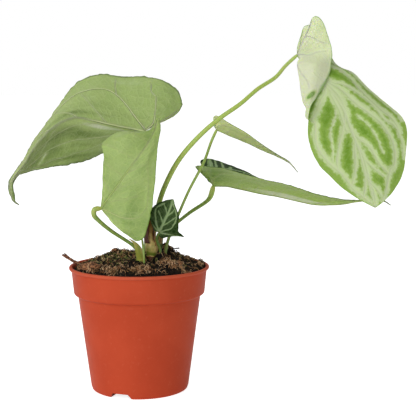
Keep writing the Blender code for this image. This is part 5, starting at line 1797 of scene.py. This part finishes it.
    def fibres(self) -> None:
        """Strands over the whole surface, and pale tangles where the patches are."""
        rng = np.random.default_rng(13)
        count = self.loose_fibres
        x, y = self.scattered(rng, count, self.edge - 2)
        loose = self.strands(rng, x, y, rng.uniform(2, 8, count), rng.uniform(0.12, 0.34, count),
                             rng.uniform(0.2, 2.2, count), self.two_tones(rng, count, 0.36))
        tangles = []
        for middle_x, middle_y, reach, count in self.fibre_patches:
            x = middle_x + rng.normal(0, 0.42 * reach, count)
            y = middle_y + rng.normal(0, 0.38 * reach, count)
            length, thickness = rng.uniform(2, 0.9 * reach, count), rng.uniform(0.13, 0.3, count)
            loft, tone = rng.uniform(0.8, 3.4, count), self.two_tones(rng, count, 0.6)
            tangles.append(self.strands(rng, x, y, length, thickness, loft, tone))
        Shell.join([loose, *tangles]).piece("peat_fibres", [FIBRE.material()], "peat_soil")

    def moss(self) -> None:
        """Small curled sprigs of moss, mostly left of the crown."""
        rng = np.random.default_rng(17)
        left, tuft, wide = self.sprigs
        count = sum(self.sprigs)
        x = np.concatenate([rng.normal(-17, 11, left), rng.normal(-14, 4, tuft), rng.uniform(-46, 46, wide)])
        y = np.concatenate([rng.normal(-6, 10, left), rng.normal(7, 4, tuft), rng.uniform(-34, 34, wide)])
        sprigs = self.strands(rng, x, y, rng.uniform(1.5, 4, count), rng.uniform(0.12, 0.3, count),
                              rng.uniform(0.5, 2.2, count), rng.uniform(0.1, 1.05, count))
        sprigs.piece("moss", [MOSS.material()], "peat_soil")

    def build(self) -> None:
        """Lays the ground and what lies loose on it."""
        self.ground()
        self.crumbs()
        self.fibres()
        self.moss()


@dataclass
class BarkChip:
    """A broken flake of bark that stands for a chip in the frame.

    Attributes:
        node: the chip's node, whose box gives its place.
        size: length, width and height.
        turn, tilt: its turn about Z and its tilt, in degrees.
        settled: how far it has sunk into the crumbs.
    """

    node: str
    size: Place
    turn: float
    tilt: float
    seed: int
    settled: float = 0.0

    def build(self) -> None:
        """A ball squared by the fourth power, split by layered noise along its grain, turned into place."""
        places, faces = ball(5)
        places = places / (np.abs(places) ** 4).sum(1, keepdims=True) ** 0.25
        grain = Grain(self.seed)
        shaped = places * np.array(self.size) / 2
        depth = 0.75 * grain.at(shaped * (0.35, 1, 1), 1.9, 3) + 0.7 * grain.at(shaped, 5, 1)
        shaped = shaped + unit(places) * depth[:, None]
        rim = np.sort(np.abs(places), axis=1)[:, 1]
        a, b = np.radians(self.turn), np.radians(self.tilt)
        about_z = np.array([[np.cos(a), -np.sin(a), 0], [np.sin(a), np.cos(a), 0], [0, 0, 1]])
        about_y = np.array([[np.cos(b), 0, np.sin(b)], [0, 1, 0], [-np.sin(b), 0, np.cos(b)]])
        shaped = shaped @ (about_z @ about_y).T
        low, high = [np.array(corner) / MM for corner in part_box(self.node)]
        span = shaped.max(0) - shaped.min(0)
        shaped = (shaped - shaped.min(0)) / span * (high - low) + low - (0, 0, self.settled)
        shell = Shell(shaped, faces).mark("rim", rim * (0.8 + 0.5 * grain.at(shaped, 3, 2)))
        shell.piece(f"{self.node}_flake", [BARK.material()], "bark", self.node)


@dataclass(frozen=True)
class BarkCurl:
    """A strip of bark that has rolled up as it dried.

    Attributes:
        start, end: the middle of each end.
        radius: the roll's radius.
        turn: where the roll opens and where it ends, in degrees round its axis: 0 ahead of it, 90 up.
    """

    name: str
    start: Place
    end: Place
    radius: float
    turn: Share
    seed: int

    def build(self) -> None:
        """A part of a tube, wider at its end, with torn ends and a creased face."""
        grain = Grain(self.seed)
        start, end = np.array(self.start, float), np.array(self.end, float)
        ahead = unit(end - start)
        side = unit(np.cross(ahead, (0, 0, 1)))
        other = np.cross(side, ahead)
        along_it, round_ = lattice(40, 44, 0)
        angle = np.radians(self.turn[0] + (self.turn[1] - self.turn[0]) * round_)
        torn = grain.at(np.stack([3 * np.cos(angle), 3 * np.sin(angle), 4 * along_it.round()], -1), 1.3, 2)
        shift = along_it * (1 + 0.16 * torn) - 0.05 * torn
        radius = self.radius * (0.72 + 0.28 * along_it + 0.12 * round_)
        grid = start + (end - start) * shift[..., None] + radius[..., None] * around(angle, side, other)
        crease = 0.9 * grain.at(grid * (0.5, 0.5, 1), 1.5, 4)
        grid = grid + crease[..., None] * unit(grid - start - (end - start) * shift[..., None])
        shell = thick_sheet(grid, 0.8)
        rim = np.maximum(along_it ** 3, np.abs(2 * round_ - 1) ** 8) + 0.25 * grain.at(grid, 2, 2)
        shell.mark("rim", np.tile(rim.ravel(), 2))
        shell.piece(self.name, [BARK.material()], "bark")


@dataclass
class Twig:
    """A thin dry twig that lies where its node lies.

    Attributes:
        node: its node's name.
        path: places along it.
        radii: its radius along the path.
        fork: the side prong's end, if it has one: it leaves the path's third place.
        settled: how far below its node's top it lies.
    """

    node: str
    path: Path
    radii: Row
    finish: BarkFinish
    fork: Place | None = None
    settled: float = 0.0

    def build(self) -> None:
        """A rough tube, placed by its highest place and its node's top, and its prong."""
        path = np.array(self.path, float)
        _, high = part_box(self.node)
        drop = high[2] / MM - self.settled - (path[:, 2] + np.array(self.radii)).max()
        path[:, 2] += drop
        lines = [(smooth_line(path, 60), self.radii)]
        if self.fork:
            end = np.array(self.fork) + (0, 0, drop)
            prong = np.array([path[2], (path[2] + path[0]) / 2 + (0, 0, 1.2), end])
            lines.append((smooth_line(prong, 60), (0.8, 0.7, 0.45)))
        grain = Grain(31)
        shells = []
        for line, radii in lines:
            radius = evenly(np.linspace(0, 1, 60), radii)
            shell = tubes(line, radius * (1 + 0.25 * grain.at(line, 3, 2)), 12)
            shell.places = shell.places + 0.12 * grain.at(shell.places, 1.2, 2)[:, None]
            shells.append(shell)
        Shell.join(shells).piece(f"{self.node}_wood", [self.finish.material()], "bark", self.node)


@dataclass
class YoungShoot:
    """The slim young shoot in front of the crown."""

    path: Path = ((5.8, -26, 100), (5.8, -26, 108), (5.7, -26, 112), (5.6, -26, 118), (5.2, -25, 123),
                  (4.6, -24, 127.6), (4, -22, 131.5), (3.5, -20, 134))
    radii: Row = (0.75, 0.75, 0.8, 0.85, 0.95, 1, 0.85, 0.45)

    def build(self) -> None:
        """A slim tube that is thickest near its tip."""
        line = smooth_line(np.array(self.path), 80)
        radius = evenly(np.linspace(0, 1, 80), self.radii)
        tubes(line, radius, 16).piece("shoot", [STALK_GREEN.material()], "stalk_green", "young_shoot")


@dataclass
class Studio:
    """A plain white floor, soft lights from the front left, and the photograph's camera."""

    camera_place: Place = (59, -921, 259)
    camera_tilt: float = 0.111
    focal_pixels: float = 1085
    frame_pixels: float = 416
    sensor: float = 36
    ambient: float = 0.34
    floor_glow: tuple[float, float] = (0.22, 0.6)
    lamps: tuple[tuple[str, Place, float, float], ...] = (
        ("key", (-900, -1500, 1000), 1900, 24),
        ("back", (-200, 1300, 1500), 1200, 5),
    )
    target: Place = (50, 0, 150)
    floor_reach: float = 30000

    def camera(self) -> None:
        """A level camera tilted a little down: its focal length in pixels becomes one in millimetres."""
        data = bpy.data.cameras.new("camera")
        data.sensor_width = self.sensor
        data.lens = self.focal_pixels / self.frame_pixels * self.sensor
        data.clip_start = 0.01
        made = placed("camera", data, self.camera_place)
        made.rotation_euler = (pi / 2 - self.camera_tilt, 0, 0)
        bpy.context.scene.camera = made

    def lights(self) -> None:
        """Square soft lamps aimed at the plant, and a white world that the camera sees as white."""
        for name, place, size, power in self.lamps:
            data = bpy.data.lights.new(name, "AREA")
            data.size = size * MM
            data.energy = power
            made = placed(name, data, place)
            aim = made.location - Vector(self.target) * MM
            made.rotation_euler = aim.to_track_quat("Z", "Y").to_euler()
        world = bpy.data.worlds.new("white")
        world.use_nodes = True
        bpy.context.scene.world = world
        tree = world.node_tree
        light = tree.nodes["Background"].inputs
        path = tree.nodes.new("ShaderNodeLightPath")
        strength = tree.nodes.new("ShaderNodeMapRange")
        light["Color"].default_value = (1, 1, 1, 1)
        strength.inputs["To Min"].default_value = self.ambient
        tree.links.new(path.outputs["Is Camera Ray"], strength.inputs["Value"])
        tree.links.new(strength.outputs["Result"], light["Strength"])

    def floor(self) -> None:
        """A wide pale floor with a faint mottle, which the camera sees as bright as a lit white sweep."""
        places = [(x * self.floor_reach * MM, y * self.floor_reach * MM, 0) for x, y in CORNERS]
        mesh = bpy.data.meshes.new("floor")
        mesh.from_pydata(places, [], [(0, 1, 2, 3)])
        r = Recipe("floor_white")
        mottle = r.noise(60, 3)
        colour = r.coats((247, 247, 247), (mottle, 0.3, 0.7, 0, 1, (250, 250, 249)))
        r.shader.inputs["Emission Color"].default_value = (1, 1, 1, 1)
        cast, shown = self.floor_glow
        seen = r.math("MULTIPLY", r.add("ShaderNodeLightPath", []).outputs["Is Camera Ray"], shown)
        r.tree.links.new(r.math("ADD", seen, cast), r.shader.inputs["Emission Strength"])
        mesh.materials.append(r.done(colour, 0.85, r.bump(mottle, 0.01), Specular_IOR_Level=0.1))
        made = placed("floor", mesh, (0, 0, 0))

    def build(self) -> None:
        """Sets the camera, lights and floor, and shows colours as the screen has them."""
        self.camera()
        self.lights()
        self.floor()
        bpy.context.scene.view_settings.view_transform = "Standard"


def main() -> None:
    """Builds every piece over the frame."""
    logging.basicConfig(level=logging.INFO, format="%(message)s")
    Studio().build()
    Pot().build()
    Peat().build()
    Crown().build()
    for sheath in SHEATHS:
        sheath.build()
    YoungShoot().build()
    for stalk in STALKS:
        stalk.build()
    for leaf in (LEAF_A, LEAF_B, LEAF_C, LEAF_D, LEAF_E, LEAF_F):
        leaf.build()
    BarkChip("bark_chip_front", (10.5, 8.0, 6.0), 25, 20, 3).build()
    BarkChip("bark_chip_mound", (7.0, 5.0, 3.2), 70, 5, 5, 2.2).build()
    BarkChip("bark_chip_right", (9.0, 5.5, 3.0), -30, 8, 9).build()
    BarkChip("bark_chip_back", (10.0, 6.0, 4.0), 110, -10, 12, 2.8).build()
    BarkCurl("bark_curl", (-48, -20.5, 107.6), (-37.5, -28.5, 110.2), 3.3, (-60, 235), 6).build()
    Twig("twig", ((-67, 10, 116), (-62, 8, 113.6), (-57, 5.5, 111.2), (-52, 3, 109), (-47, 1, 107)),
         (0.9, 1.4, 1.5, 1.3, 0.9), TWIG, (-65.5, 9, 117.6), settled=1.4).build()
    Twig("small_stick", ((24, 15.5, 127), (28, 15, 128), (34, 14.5, 128.6)), (0.6, 0.65, 0.6), STICK,
         settled=7.5).build()


if __name__ == "__main__":
    main()
